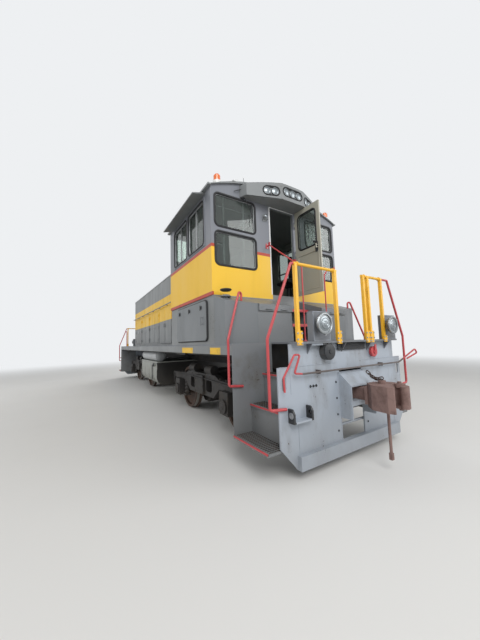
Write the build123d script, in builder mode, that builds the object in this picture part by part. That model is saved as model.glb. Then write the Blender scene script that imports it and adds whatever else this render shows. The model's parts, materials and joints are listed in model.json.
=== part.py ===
"""End-cab diesel switching locomotive, millimetres.

+X runs along the locomotive toward the cab end, +Y to its left, +Z up. The origin is at the
middle of the platform, between the wheels, at the height of the flange bottoms.
"""

from build123d import *
from math import sqrt
import os

os.makedirs("parts", exist_ok=True)

# Clearances
RUN_GAP = 0.3  # running clearance and seat gap
SWING_GAP = 5  # between a moving piece and what it passes

# Wheels and track
RAIL_TOP = 28  # rail head above the flange bottoms
WHEEL_R = 508  # at the tread
FLANGE_H = RAIL_TOP
FLANGE_T = 34
BACK_FACE = 680  # inner face of a wheel from the centre line
RIM_W = 140
RIM_T = 65
HUB_R = 150
AXLE_R = 95
JOURNAL_R = 82
AXLE_HALF = 1090
AXLE_Z = RAIL_TOP + WHEEL_R

# Trucks
TRUCK_X = 3353  # truck centre from the middle
AXLE_X = 1219  # axle from its truck centre
FRAME_IN = 900  # inner face of a side frame
FRAME_T = 130
FRAME_OUT = FRAME_IN + FRAME_T
FRAME_TOP = 1000
FRAME_LOW = 560
FRAME_END_H = 110
END_OVER = 631  # frame end past its axle
FRAME_HALF = AXLE_X + END_OVER
BOX_HALF = 150  # journal box
BOX_OUT = 1130
BOX_DROP = 150  # box bottom below the axle
WING_T = 40
SPRING_X = 275  # coil spring from its axle
SPRING_R = 72
SPRING_TURNS = 4
TRANSOM_HALF = 250
TRUCK_SEAT_Z = 1130  # centre plate, under the body
CENTRE_PLATE_R = 175
MOTOR_R = 320
MOTOR_HALF_W = 540
MOTOR_X = 760
GEAR_R = 300
GEAR_Y = (572, 640)
SHOE_Y = (718, 800)
SHOE_T = 50

# Platform
END_X = 6285  # outer face of the end plates
SIDE_Y = 1490
DECK_TOP = 1611
DECK_T = 25
DECK_LIP = 100  # deck edge past the end plate
SILL_H = 132
SILL_T = 25
CENTRE_SILL_Y = 205
CENTRE_SILL_T = 25
STEP_DEPTH = 760
STEP_BACK_X = END_X - STEP_DEPTH  # plate behind the steps
STEP_IN_Y = 800  # deck edge over the steps
STEP_PLATE_T = 12
DECK_LOW = DECK_TOP - DECK_T
SILL_LOW = DECK_LOW - SILL_H

# End plate
PLATE_T = 20
PLATE_TOP_Y = 1140
PLATE_LOW_Y = 1330
PLATE_STEP_Z = 1318
PLATE_SIDE_Z = 418
PLATE_BOTTOM_Z = 138
PLATE_BOTTOM_Y = 1080
POCKET_Y = 250
POCKET_Z = (298, 1228)
POCKET_D = 180
LIP_D = 60
LIP_H = 160

# Coupler
COUPLER_Z = RAIL_TOP + 876
PIVOT_X = END_X - 225
SHANK_Y = 70
SHANK_Z = 80
HEAD_X = END_X + 285
FACE_X = END_X + 700
HEAD_HALF_Z = 150
PIN_R = 30

# Cab
CAB_SETBACK = 1280  # cab wall behind the end plate
CAB_X = END_X - CAB_SETBACK  # end wall, outer face
CAB_L = 2150
REAR_X = CAB_X - CAB_L
CAB_Y = 1510
WALL_T = 60
BASE_H = 777
CAB_LOW = DECK_TOP + BASE_H  # lower edge of the cab walls
FLOOR_T = 80
FLOOR_Z = CAB_LOW + FLOOR_T
CAB_WALL_H = 1810
EAVE_Z = CAB_LOW + CAB_WALL_H
ROOF_RISE = 332
CROWN_Z = EAVE_Z + ROOF_RISE
ROOF_T = 50
ROOF_OVER = 40
ROOF_SIDE = 30
DOOR_Y = 290  # half the end doorway
DOOR_H = 1660
DOOR_TOP = FLOOR_Z + DOOR_H
WINDOW_R = 70
END_WINDOW_Y = (635, 1430)
END_WINDOW_H = 552
END_WINDOW_TOP = 105  # below the eave
END_WINDOW_GAP = 97
SIDE_WINDOW_X = ((CAB_X - 980, CAB_X - 260), (CAB_X - 1820, CAB_X - 1060))
SIDE_WINDOW_Z = (EAVE_Z - 908, EAVE_Z - 138)
WALK_DOOR_Y = (990, 1420)
WALK_DOOR_H = 1562
WALK_DOOR_TOP = FLOOR_Z + WALK_DOOR_H
GLASS_T = 6

# Hinges
HINGE_OFF = 20  # hinge line outside a wall
HINGE_R = 13
KNUCKLE_H = 40
LEAF_KNUCKLE = 30  # half height of a leaf's own knuckle
LUG_HALF = 5
LEAF_T = 30
LEAF_GAP = 20  # leaf edge from its hinge line
STRAP_HALF = 4
STRAP_LAP = 5
HANDLE_R = 9
HANDLE_OUT = 45

# Boxes on the end platform
BOX_IN_Y = 350
BOX_CHAMFER_X = 360
BOX_FRONT_X = 520
BOX_CORNER_Y = 1020
BOX_H = 759
BOX_FALL = 170
BOX_T = 30
LID_T = 40
LID_SETBACK = 25
LID_SKIRT = 70

# Hood
HOOD_Y = 910
NOSE_PORCH = 1190
HOOD_X = NOSE_PORCH - END_X
HOOD_H = 2169
HOOD_EAVE = DECK_TOP + HOOD_H
HOOD_RISE = 200
HOOD_CROWN = HOOD_EAVE + HOOD_RISE
HOOD_T = 40
HOOD_DOOR_W = 1300  # one pair of leaves
HOOD_DOOR_MID = 350
HOOD_DOOR_STEP = 1480  # from one pair to the next
HOOD_DOOR_Z = (DECK_TOP + 89, DECK_TOP + 1179)
HOOD_HINGE_OUT = 40
DOOR_LAP = 20
PANEL_T = 12
GRILLE_Y = 620
GRILLE_Z = (DECK_TOP + 539, DECK_TOP + 1889)
SLAT_STEP = 100

# Tank
TANK_X = (-1295, 865)
TANK_Y = 1330
TANK_Z = (430, 1130)
TANK_R = 260
RESERVOIR_R = 160
RESERVOIR_L = 1800
RESERVOIR_Y = 1180

# Handrails
RAIL_R = 17
POST_HALF = 21
POST_FRONT_X = END_X + DECK_LIP


def slab(x, y, z, mode=Mode.ADD):
    """Box between two values on each axis, in either order."""
    low = [min(pair) for pair in (x, y, z)]
    high = [max(pair) for pair in (x, y, z)]
    with Locations(tuple((a + b) / 2 for a, b in zip(low, high))):
        Box(*[b - a for a, b in zip(low, high)], mode=mode)


def rod(centre, radius, length, axis="Z", mode=Mode.ADD):
    """Cylinder of that length centred on a point, along one axis."""
    turn = {"X": (0, 90, 0), "Y": (90, 0, 0), "Z": (0, 0, 0)}[axis]
    with Locations(Location(centre, turn)):
        Cylinder(radius, length, mode=mode)


def tube(points, radius, bend):
    """Round bar along straight runs joined by bends."""
    with BuildLine(mode=Mode.PRIVATE) as path:
        if len(points) > 2:
            FilletPolyline(*points, radius=bend)
        else:
            Line(*points)
    with BuildSketch(Plane(origin=path.line @ 0, z_dir=path.line % 0), mode=Mode.PRIVATE) as end:
        Circle(radius)
    sweep(sections=end.sketch, path=path.line)


def prism(plane, points, depth, mode=Mode.ADD):
    """Outline of points in a plane, carried along its normal."""
    with BuildSketch(plane, mode=Mode.PRIVATE) as face:
        with BuildLine():
            Polyline(*points, close=True)
        make_face()
    extrude(face.sketch, amount=depth, mode=mode)


def side_plane(y):
    """Vertical plane along the locomotive, its X along +X and its Y up, looking from the right side."""
    return Plane(origin=(0, y, 0), x_dir=(1, 0, 0), z_dir=(0, -1, 0))


def end_plane(x):
    """Vertical plane across the locomotive, its X along +Y and its Y up."""
    return Plane(origin=(x, 0, 0), x_dir=(0, 1, 0), z_dir=(1, 0, 0))


def side_prism(points, y, mode=Mode.ADD):
    """Outline of (x, z) points carried from one Y to the other."""
    prism(side_plane(max(y)), points, max(y) - min(y), mode)


def end_prism(points, x, mode=Mode.ADD):
    """Outline of (y, z) points carried from one X to the other."""
    prism(end_plane(min(x)), points, max(x) - min(x), mode)


def plan_prism(points, z, mode=Mode.ADD):
    """Outline of (x, y) points carried from one Z to the other."""
    prism(Plane.XY.offset(min(z)), points, max(z) - min(z), mode)


def round_window(x, y, z, radius, along, mode=Mode.SUBTRACT):
    """Rounded rectangle through a wall; along is the axis that the wall faces."""
    middle = tuple(sum(pair) / 2 for pair in (x, y, z))
    size = {axis: abs(pair[1] - pair[0]) for axis, pair in zip("XYZ", (x, y, z))}
    if along == "X":
        plane = Plane(origin=middle, x_dir=(0, 1, 0), z_dir=(1, 0, 0))
    else:
        plane = Plane(origin=middle, x_dir=(1, 0, 0), z_dir=(0, -1, 0))
    with BuildSketch(plane, mode=Mode.PRIVATE) as face:
        RectangleRounded(size["Y" if along == "X" else "X"], size["Z"], radius)
    extrude(face.sketch, amount=size[along] / 2, both=True, mode=mode)


def knuckles(x, y, z, wall, axis):
    """Two hinge knuckles on a wall, above and below the leaf's own, each with its lug."""
    for low in (z + LEAF_KNUCKLE + RUN_GAP, z - LEAF_KNUCKLE - RUN_GAP - KNUCKLE_H):
        rod((x, y, low + KNUCKLE_H / 2), HINGE_R, KNUCKLE_H)
        if axis == "Y":
            slab((x - LUG_HALF, x + LUG_HALF), (wall, y), (low, low + KNUCKLE_H))
        else:
            slab((wall, x), (y - LUG_HALF, y + LUG_HALF), (low, low + KNUCKLE_H))


def leaf_knuckle(x, y, z, edge, axis):
    """A leaf's own knuckle, with the strap that joins it to the leaf edge."""
    rod((x, y, z), HINGE_R, 2 * LEAF_KNUCKLE)
    height = (z - LEAF_KNUCKLE, z + LEAF_KNUCKLE)
    if axis == "X":
        slab((x, edge), (y - STRAP_HALF, y + STRAP_HALF), height)
    else:
        slab((x - STRAP_HALF, x + STRAP_HALF), (y, edge), height)


def handle(x, y, z, wall, axis):
    """Upright grab bar on two stand-offs; wall is the face that it stands on."""
    rod((x, y, sum(z) / 2), HANDLE_R, abs(z[1] - z[0]))
    for height in (min(z) + 2 * HANDLE_R, max(z) - 2 * HANDLE_R):
        if axis == "X":
            rod(((x + wall) / 2, y, height), HANDLE_R - 2, abs(x - wall), "X")
        else:
            rod((x, (y + wall) / 2, height), HANDLE_R - 2, abs(y - wall), "Y")


def arched_face(plane, half, low, eave, crown):
    """Wall outline with a flat foot and an arched top."""
    with BuildSketch(plane, mode=Mode.PRIVATE) as face:
        with BuildLine():
            ThreePointArc((-half, eave), (0, crown), (half, eave))
            Polyline((half, eave), (half, low), (-half, low), (-half, eave))
        make_face()
    return face.sketch


def roof_height(y, half, eave, crown):
    """Height of a roof arch at one Y."""
    rise = crown - eave
    radius = (half * half + rise * rise) / (2 * rise)
    return crown - radius + sqrt(radius * radius - y * y)


def turned(plane, profile):
    """Solid of revolution about a plane's Y axis, from (radius, height) points."""
    with BuildSketch(plane, mode=Mode.PRIVATE) as face:
        with BuildLine():
            Polyline(*profile, close=True)
        make_face()
    revolve(face.sketch, axis=Axis(plane.origin, plane.y_dir))


def arc_block(x, z, radii, angles, y):
    """Sector of a ring about an axle, between two angles from +X."""
    with BuildSketch(side_plane(max(y)), mode=Mode.PRIVATE) as face:
        with BuildLine():
            inner = CenterArc((x, z), radii[0], angles[0], angles[1] - angles[0])
            outer = CenterArc((x, z), radii[1], angles[0], angles[1] - angles[0])
            Line(inner @ 0, outer @ 0)
            Line(inner @ 1, outer @ 1)
        make_face()
    extrude(face.sketch, amount=max(y) - min(y))


parts = {}

# Deck, with the headlamp boxes that stand on it and the gussets under its lips
LAMP_BOXES = ((-643, 160), (955, 155))  # middle Y and half width
LAMP_BOX_H = 380
LAMP_BOX_X = (END_X - 10, END_X + DECK_LIP - 15)
LIP_HALF_Y = 1110
GUSSET_Y = (-840, -170, 420, 900)
GUSSET_H = 130
GUSSET_T = 12
with BuildPart() as deck:
    slab((-END_X + PLATE_T, END_X - PLATE_T), (-SIDE_Y, SIDE_Y), (DECK_LOW, DECK_TOP))
    for end in (-1, 1):
        for side in (-1, 1):
            slab((end * STEP_BACK_X, end * END_X), (side * STEP_IN_Y, side * (SIDE_Y + 1)),
                 (DECK_LOW - 1, DECK_TOP + 1), mode=Mode.SUBTRACT)
        slab((end * (END_X - PLATE_T), end * (END_X + DECK_LIP)), (-LIP_HALF_Y, LIP_HALF_Y),
             (DECK_LOW, DECK_TOP))
        for y, half in LAMP_BOXES:
            slab((end * LAMP_BOX_X[0], end * LAMP_BOX_X[1]), (y - half, y + half),
                 (DECK_TOP, DECK_TOP + LAMP_BOX_H))
        for y in GUSSET_Y:
            corner = end * (END_X + RUN_GAP)
            tip = end * (END_X + DECK_LIP - 10)
            side_prism(((corner, DECK_LOW), (tip, DECK_LOW), (corner, DECK_LOW - GUSSET_H)),
                       (y - GUSSET_T / 2, y + GUSSET_T / 2))
parts["deck"] = deck

# Side sills, and the bolsters and bearers between them and the centre sill
BOLSTER_HALF = 260
BOLSTER_DROP = 40  # lower than the side sills
BEARER_T = 30
BEARER_X = (-4700, -1900, -700, 500, 1700, 4700)
with BuildPart() as side_sills:
    for side in (-1, 1):
        slab((-STEP_BACK_X, STEP_BACK_X), (side * (SIDE_Y - SILL_T), side * SIDE_Y), (SILL_LOW, DECK_LOW))
parts["side_sills"] = side_sills
with BuildPart() as cross_members:
    for side in (-1, 1):
        y = (side * CENTRE_SILL_Y, side * (SIDE_Y - SILL_T))
        for x in (-TRUCK_X, TRUCK_X):
            slab((x - BOLSTER_HALF, x + BOLSTER_HALF), y, (SILL_LOW - BOLSTER_DROP, DECK_LOW))
        for x in BEARER_X:
            slab((x - BEARER_T / 2, x + BEARER_T / 2), y, (SILL_LOW, DECK_LOW))
parts["cross_members"] = cross_members

# Centre sill: two webs, and between them the bottom plate, centre plates and coupler carriers
CENTRE_PLATE_H = 120
DRAFT_L = 500  # draft pocket behind the coupler pivot
DRAFT_LOW = 760
CARRIER_X = (-120, 60)  # carrier plates, from the pivot
CARRIER_T = 30
WEB_IN_Y = CENTRE_SILL_Y - CENTRE_SILL_T
with BuildPart() as sill_webs:
    for side in (-1, 1):
        y = (side * WEB_IN_Y, side * CENTRE_SILL_Y)
        slab((-END_X + PLATE_T, END_X - PLATE_T), y, (TRUCK_SEAT_Z, DECK_LOW))
        for end in (-1, 1):
            side_prism([(end * x, z) for x, z in (
                (PIVOT_X - DRAFT_L - 150, TRUCK_SEAT_Z), (PIVOT_X - DRAFT_L, DRAFT_LOW),
                (END_X - PLATE_T, DRAFT_LOW), (END_X - PLATE_T, TRUCK_SEAT_Z))], y)
parts["sill_webs"] = sill_webs
with BuildPart() as centre_sill:
    slab((-STEP_BACK_X, STEP_BACK_X), (-WEB_IN_Y, WEB_IN_Y), (TRUCK_SEAT_Z, TRUCK_SEAT_Z + CENTRE_SILL_T))
    for x in (-TRUCK_X, TRUCK_X):
        rod((x, 0, TRUCK_SEAT_Z + CENTRE_PLATE_H / 2), CENTRE_PLATE_R, CENTRE_PLATE_H)
    for end in (-1, 1):
        shank_low, shank_top = COUPLER_Z - SHANK_Z - RUN_GAP, COUPLER_Z + SHANK_Z + RUN_GAP
        for low in (shank_low - CARRIER_T, shank_top):
            slab((end * (PIVOT_X + CARRIER_X[0]), end * (PIVOT_X + CARRIER_X[1])), (-WEB_IN_Y, WEB_IN_Y),
                 (low, low + CARRIER_T))
        rod((end * PIVOT_X, 0, COUPLER_Z), PIN_R, 2 * (SHANK_Z + CARRIER_T))
parts["centre_sill"] = centre_sill

# End plates with the coupler pocket, lip, lugs, bolt holes and slots
LUG_Y = (890, 1180)
LUG_T = 25
LUG_Z = (690, 850)
LUG_OUT = 100
LUG_BORE = (60, 780, 22)  # out from the plate, height, radius
SLOT_Y = (1210, 1270)
SLOT_Z = (1043, 1213)
BOLT_HOLE = (-770, 1058, 17, 52)  # middle Y, height, radius, pitch
POCKET_HOOD = ((0, 1188), (POCKET_D, 1023))  # sloped top over the coupler, from the plate
POCKET_FOOT = 588
RECEPTACLE = (-520, DECK_LOW - 112, 108)  # Y, height, radius
HOSE_VALVE = (520, DECK_LOW - 155, 75)
PIPE_Z = 478
with BuildPart() as pilot_front:
    outline = ((PLATE_BOTTOM_Y, PLATE_BOTTOM_Z), (PLATE_LOW_Y, PLATE_SIDE_Z), (PLATE_LOW_Y, PLATE_STEP_Z),
               (PLATE_TOP_Y, PLATE_STEP_Z), (PLATE_TOP_Y, DECK_LOW))
    end_prism(outline + tuple((-y, z) for y, z in reversed(outline)), (END_X - PLATE_T, END_X))
    slab((END_X - PLATE_T - 1, END_X + 1), (-POCKET_Y, POCKET_Y), POCKET_Z, mode=Mode.SUBTRACT)
    slab((END_X, END_X + LIP_D), (-PLATE_BOTTOM_Y, PLATE_BOTTOM_Y), (PLATE_BOTTOM_Z, PLATE_BOTTOM_Z + LIP_H))
    for side in (-1, 1):
        round_window((END_X - PLATE_T - 1, END_X + 1), (side * SLOT_Y[0], side * SLOT_Y[1]), SLOT_Z,
                     (SLOT_Y[1] - SLOT_Y[0]) / 2 - 1, "X")
        cheek = [(END_X, POCKET_FOOT), (END_X + POCKET_D, POCKET_FOOT)]
        cheek += [(END_X + x, z) for x, z in reversed(POCKET_HOOD)]
        side_prism(cheek, (side * POCKET_Y, side * (POCKET_Y + PLATE_T)))
        for y in LUG_Y:
            side_prism(((END_X, LUG_Z[0]), (END_X + LUG_OUT, LUG_Z[0]), (END_X + LUG_OUT, LUG_Z[1] - 50),
                        (END_X + LUG_OUT - 22, LUG_Z[1] - 12), (END_X + 60, LUG_Z[1]), (END_X, LUG_Z[1])),
                       (side * y, side * (y + LUG_T)))
            rod((END_X + LUG_BORE[0], side * (y + LUG_T / 2), LUG_BORE[1]), LUG_BORE[2], 2 * LUG_T, "Y",
                mode=Mode.SUBTRACT)
        slab((END_X, END_X + LUG_OUT), (side * LUG_Y[0], side * LUG_Y[1]), (LUG_Z[0], LUG_Z[0] + PLATE_T))
    for step in (-1, 0, 1):
        hole_y = BOLT_HOLE[0] + step * BOLT_HOLE[3]
        rod((END_X - PLATE_T / 2, hole_y, BOLT_HOLE[1]), BOLT_HOLE[2], 2 * PLATE_T, "X", mode=Mode.SUBTRACT)
    hood_top = [(END_X + x, z) for x, z in POCKET_HOOD]
    side_prism(hood_top + [(x, z - PLATE_T) for x, z in reversed(hood_top)], (-POCKET_Y, POCKET_Y))
    slab((END_X + POCKET_D - 90, END_X + POCKET_D), (-POCKET_Y, POCKET_Y),
         (DRAFT_LOW, COUPLER_Z - SHANK_Z - RUN_GAP))
    rod((END_X + 40, *RECEPTACLE[:2]), RECEPTACLE[2], 80, "X")
    rod((END_X + 30, *HOSE_VALVE[:2]), HOSE_VALVE[2], 60, "X")
    rod((END_X - PLATE_T - 30, 0, PIPE_Z), RAIL_R, 2 * POCKET_Y + 120, "Y")
    for side in (-1, 1):
        slab((END_X - PLATE_T - 30, END_X - PLATE_T), (side * (POCKET_Y + 20), side * (POCKET_Y + 50)),
             (PIPE_Z - RAIL_R, PIPE_Z + RAIL_R))
parts["end_plate_cab"] = pilot_front
with BuildPart() as pilot_rear:
    mirror(pilot_front.part, about=Plane.YZ)
parts["end_plate_nose"] = pilot_rear

# Steps: back plate, treads and risers, both sides of one end
TREADS = (  # outer and inner edge from the centre line, height below the deck
    (1500, 1190, 1211),
    (1220, 960, 841),
    (990, 800, 441),
)
TREAD_T = 30
RISER_T = 10
STEP_X = (STEP_BACK_X + STEP_PLATE_T, END_X - PLATE_T)
with BuildPart() as steps_cab:
    for side in (-1, 1):
        slab((STEP_BACK_X, STEP_X[0]), (side * STEP_IN_Y, side * SIDE_Y), (DECK_TOP - 1251, DECK_TOP))
        for outer, inner, drop in TREADS:
            top = DECK_TOP - drop
            slab(STEP_X, (side * inner, side * outer), (top - TREAD_T, top))
            if inner > STEP_IN_Y:
                slab(STEP_X, (side * inner, side * (inner + RISER_T)), (top, top + 370))
parts["steps_cab"] = steps_cab
with BuildPart() as steps_nose:
    mirror(steps_cab.part, about=Plane.YZ)
parts["steps_nose"] = steps_nose

# Boxes on the end platform, one each side of the walkway, and their hinged lids
box_front_x = CAB_X + BOX_FRONT_X
box_cham_x = CAB_X + BOX_CHAMFER_X


def box_top(x):
    """Height of the sloped box top at one X."""
    return DECK_TOP + BOX_H - (x - CAB_X) * BOX_FALL / BOX_FRONT_X


BOX_HIGH = DECK_TOP + BOX_H + 5  # above every point of a box
LID_OUT_Y = BOX_CORNER_Y - 10  # outer edge of the lid; the corner outside it is fixed
lid_x = (CAB_X + LID_SETBACK, box_front_x + LID_SETBACK)
VENT = (CAB_X + 150, -1350, 85)  # X, Y, radius
with BuildPart() as battery_boxes:
    plan_prism(((CAB_X, BOX_IN_Y), (box_front_x, BOX_IN_Y), (box_front_x, BOX_CORNER_Y),
                (box_cham_x, SIDE_Y), (CAB_X, SIDE_Y)), (DECK_TOP, DECK_TOP + BOX_H))
    side_prism(((CAB_X - 1, box_top(CAB_X - 1)), (box_front_x + 1, box_top(box_front_x + 1)),
                (box_front_x + 1, BOX_HIGH), (CAB_X - 1, BOX_HIGH)), (0, SIDE_Y + 5), mode=Mode.SUBTRACT)
    slab((CAB_X + BOX_T, box_front_x - BOX_T), (BOX_IN_Y + BOX_T, LID_OUT_Y - BOX_T),
         (DECK_TOP + BOX_T, BOX_HIGH), mode=Mode.SUBTRACT)
    rear = lid_x[0] - SWING_GAP
    side_prism(((rear, box_top(rear) - LID_T), (lid_x[1], box_top(lid_x[1]) - LID_T), (lid_x[1], BOX_HIGH),
                (rear, BOX_HIGH)), (0, LID_OUT_Y + SWING_GAP), mode=Mode.SUBTRACT)
    mirror(battery_boxes.part, about=Plane.XZ)
    vent_z = box_top(VENT[0] + VENT[2])
    turned(Plane(origin=(VENT[0], VENT[1], vent_z), x_dir=(1, 0, 0), z_dir=(0, -1, 0)),
           ((0, -20), (35, -20), (35, 35), (VENT[2], 40), (VENT[2] - 25, 70), (0, 75)))
parts["battery_boxes"] = battery_boxes
for side, name in ((-1, "right"), (1, "left")):
    with BuildPart() as lid:
        under = [(x, box_top(x) - LID_T + RUN_GAP) for x in lid_x]
        side_prism(under + [(x, box_top(x)) for x in reversed(lid_x)], (BOX_IN_Y, LID_OUT_Y))
        skirt_top = box_top(lid_x[1]) - LID_T + 8
        slab((box_front_x + SWING_GAP, lid_x[1]), (BOX_IN_Y, LID_OUT_Y), (skirt_top - LID_SKIRT, skirt_top))
        for y in (BOX_IN_Y + 120, LID_OUT_Y - 240):
            rod((lid_x[1] + 12, y + 60, skirt_top - 45), HANDLE_R - 2, 120, "Y")
            for foot in (10, 110):
                slab((lid_x[1], lid_x[1] + 14), (y + foot - 5, y + foot + 5),
                     (skirt_top - 50, skirt_top - 40))
        if side < 0:
            mirror(lid.part, about=Plane.XZ, mode=Mode.REPLACE)
    parts["battery_lid_" + name] = lid

# Cab base under the floor, with the steps between the boxes
ACCESS_X = (CAB_X - 1650, CAB_X - 250)
ACCESS_Z = (DECK_TOP + 89, DECK_TOP + 689)
ACCESS_LAP = 25
ACCESS_HINGE_X = ACCESS_X[0] - ACCESS_LAP - LEAF_GAP
ACCESS_HINGE_Z = (ACCESS_Z[0] + 120, ACCESS_Z[1] - 120)
BASE_WALL = 50
BASE_TOP_T = 40
DOOR_STEPS = ((500, 289), (250, 573))  # depth from the cab, height above the deck
STEP_STRINGER = 20
with BuildPart() as cab_base:
    slab((REAR_X, CAB_X), (-SIDE_Y, SIDE_Y), (DECK_TOP, CAB_LOW))
    slab((REAR_X + BASE_WALL, CAB_X - BASE_WALL), (-SIDE_Y + BASE_WALL, SIDE_Y - BASE_WALL),
         (DECK_TOP - 1, CAB_LOW - BASE_TOP_T), mode=Mode.SUBTRACT)
    slab(ACCESS_X, (-SIDE_Y - 1, SIDE_Y + 1), ACCESS_Z, mode=Mode.SUBTRACT)
    slab((REAR_X + WALL_T, CAB_X - WALL_T), (-CAB_Y + WALL_T, CAB_Y - WALL_T), (CAB_LOW, FLOOR_Z))
    slab((CAB_X - WALL_T, CAB_X), (-DOOR_Y, DOOR_Y), (CAB_LOW, FLOOR_Z))
    stringer = BOX_IN_Y - STEP_STRINGER
    for depth, rise in DOOR_STEPS:
        slab((CAB_X, CAB_X + depth), (-stringer, stringer), (DECK_TOP + rise - 40, DECK_TOP + rise))
        for side in (-1, 1):
            slab((CAB_X, CAB_X + depth), (side * (stringer - STEP_STRINGER), side * stringer),
                 (DECK_TOP, DECK_TOP + rise))
    for side in (-1, 1):
        for z in ACCESS_HINGE_Z:
            knuckles(ACCESS_HINGE_X, side * (SIDE_Y + HINGE_OFF), z, side * SIDE_Y, "Y")
parts["cab_base"] = cab_base

# Doors on the cab base sides, hinged at their rear edge
for side, name in ((-1, "right"), (1, "left")):
    with BuildPart() as access_door:
        leaf_face = SIDE_Y + SWING_GAP + LEAF_T
        round_window((ACCESS_X[0] - ACCESS_LAP, ACCESS_X[1] + ACCESS_LAP), (SIDE_Y + SWING_GAP, leaf_face),
                     (ACCESS_Z[0] - ACCESS_LAP, ACCESS_Z[1] + ACCESS_LAP), 60, "Y", mode=Mode.ADD)
        for z in ACCESS_HINGE_Z:
            leaf_knuckle(ACCESS_HINGE_X, SIDE_Y + HINGE_OFF, z, ACCESS_HINGE_X + LEAF_GAP + STRAP_LAP, "X")
        handle(ACCESS_X[1] - 90, leaf_face + HANDLE_OUT, (ACCESS_Z[0] + 230, ACCESS_Z[0] + 370), leaf_face,
               "Y")
        if side < 0:
            mirror(access_door.part, about=Plane.XZ, mode=Mode.REPLACE)
    parts["access_door_" + name] = access_door

# Cab walls
upper_top = EAVE_Z - END_WINDOW_TOP
lower_top = upper_top - END_WINDOW_H - END_WINDOW_GAP
END_WINDOW_Z = ((lower_top - END_WINDOW_H, lower_top), (upper_top - END_WINDOW_H, upper_top))
END_HINGE = (CAB_X + HINGE_OFF, DOOR_Y + 30)
END_HINGE_Z = (FLOOR_Z + 232, FLOOR_Z + 832, DOOR_TOP - 228)
WALK_HINGE = (REAR_X - HINGE_OFF, WALK_DOOR_Y[1] + 25)
WALK_HINGE_Z = (FLOOR_Z + 232, FLOOR_Z + 832, WALK_DOOR_TOP - 180)
WINDOW_RIM = 35
RIM_OUT = 12
with BuildPart() as cab_walls:
    extrude(arched_face(end_plane(REAR_X), CAB_Y, CAB_LOW, EAVE_Z, CROWN_Z - ROOF_T), amount=CAB_L)
    slab((REAR_X + WALL_T, CAB_X - WALL_T), (-CAB_Y + WALL_T, CAB_Y - WALL_T), (CAB_LOW - 1, CROWN_Z),
         mode=Mode.SUBTRACT)
    slab((CAB_X - WALL_T - 1, CAB_X + 1), (-DOOR_Y, DOOR_Y), (CAB_LOW - 1, DOOR_TOP), mode=Mode.SUBTRACT)
    for side in (-1, 1):
        for z in END_WINDOW_Z:
            round_window((CAB_X - WALL_T - 1, CAB_X + 1), (side * END_WINDOW_Y[0], side * END_WINDOW_Y[1]), z,
                         WINDOW_R, "X")
        rim_x = (min(SIDE_WINDOW_X[1]) - WINDOW_RIM, max(SIDE_WINDOW_X[0]) + WINDOW_RIM)
        slab(rim_x, (side * CAB_Y, side * (CAB_Y + RIM_OUT)),
             (SIDE_WINDOW_Z[0] - WINDOW_RIM, SIDE_WINDOW_Z[1] + WINDOW_RIM))
        for x in SIDE_WINDOW_X:
            round_window(x, (side * (CAB_Y - WALL_T - 1), side * (CAB_Y + RIM_OUT + 1)), SIDE_WINDOW_Z,
                         WINDOW_R, "Y")
    slab((REAR_X - 1, REAR_X + WALL_T + 1), WALK_DOOR_Y, (FLOOR_Z, WALK_DOOR_TOP), mode=Mode.SUBTRACT)
    for z in END_WINDOW_Z:
        round_window((REAR_X - 1, REAR_X + WALL_T + 1), (-WALK_DOOR_Y[1], -WALK_DOOR_Y[0]), z, WINDOW_R, "X")
    for z in END_HINGE_Z:
        knuckles(*END_HINGE, z, CAB_X, "X")
    for z in WALK_HINGE_Z:
        knuckles(*WALK_HINGE, z, REAR_X, "X")
parts["cab_walls"] = cab_walls

# Cab roof with its gutters
GUTTER = (25, 30)
with BuildPart() as cab_roof:
    eave_half = CAB_Y + ROOF_SIDE
    extrude(arched_face(end_plane(REAR_X - ROOF_OVER), eave_half, EAVE_Z - 20, EAVE_Z, CROWN_Z),
            amount=CAB_L + 2 * ROOF_OVER)
    extrude(arched_face(end_plane(REAR_X - ROOF_OVER - 1), CAB_Y, EAVE_Z - 30, EAVE_Z, CROWN_Z - ROOF_T),
            amount=CAB_L + 2 * ROOF_OVER + 2, mode=Mode.SUBTRACT)
    for side in (-1, 1):
        slab((REAR_X - ROOF_OVER, CAB_X + ROOF_OVER), (side * eave_half, side * (eave_half + GUTTER[0])),
             (EAVE_Z - 20, EAVE_Z - 20 + GUTTER[1]))
parts["cab_roof"] = cab_roof

# Lamp housing over the end door, with a pair of lamps in each slanted facet and three in the middle one
HOUSING_GAP = 10  # above the door opening
HOUSING_LOW = DOOR_TOP + HOUSING_GAP
HOUSING_PLAN = ((0, 950), (140, 890), (335, 260))  # X from the cab wall, Y, one half
LAMP_RECESS = 22
BULB_R = 62
BULB_STEP = 150
LAMP_GROUPS = (  # middle of the recess along Y, bulbs, height over the housing's foot
    (-450, 2, 128),
    (0, 3, 160),
    (450, 2, 128),
)


def facet_plane(y):
    """Plane on the housing's face at one Y, its X across and its Y up."""
    outer, inner = HOUSING_PLAN[1], HOUSING_PLAN[2]
    if abs(y) <= inner[1]:
        return Plane(origin=(CAB_X + inner[0], y, HOUSING_LOW), x_dir=(0, 1, 0), z_dir=(1, 0, 0))
    side = 1 if y > 0 else -1
    share = (abs(y) - inner[1]) / (outer[1] - inner[1])
    x = CAB_X + inner[0] + share * (outer[0] - inner[0])
    return Plane(origin=(x, y, HOUSING_LOW), x_dir=(side * (outer[0] - inner[0]), outer[1] - inner[1], 0),
                 z_dir=(outer[1] - inner[1], side * (inner[0] - outer[0]), 0))


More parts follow.
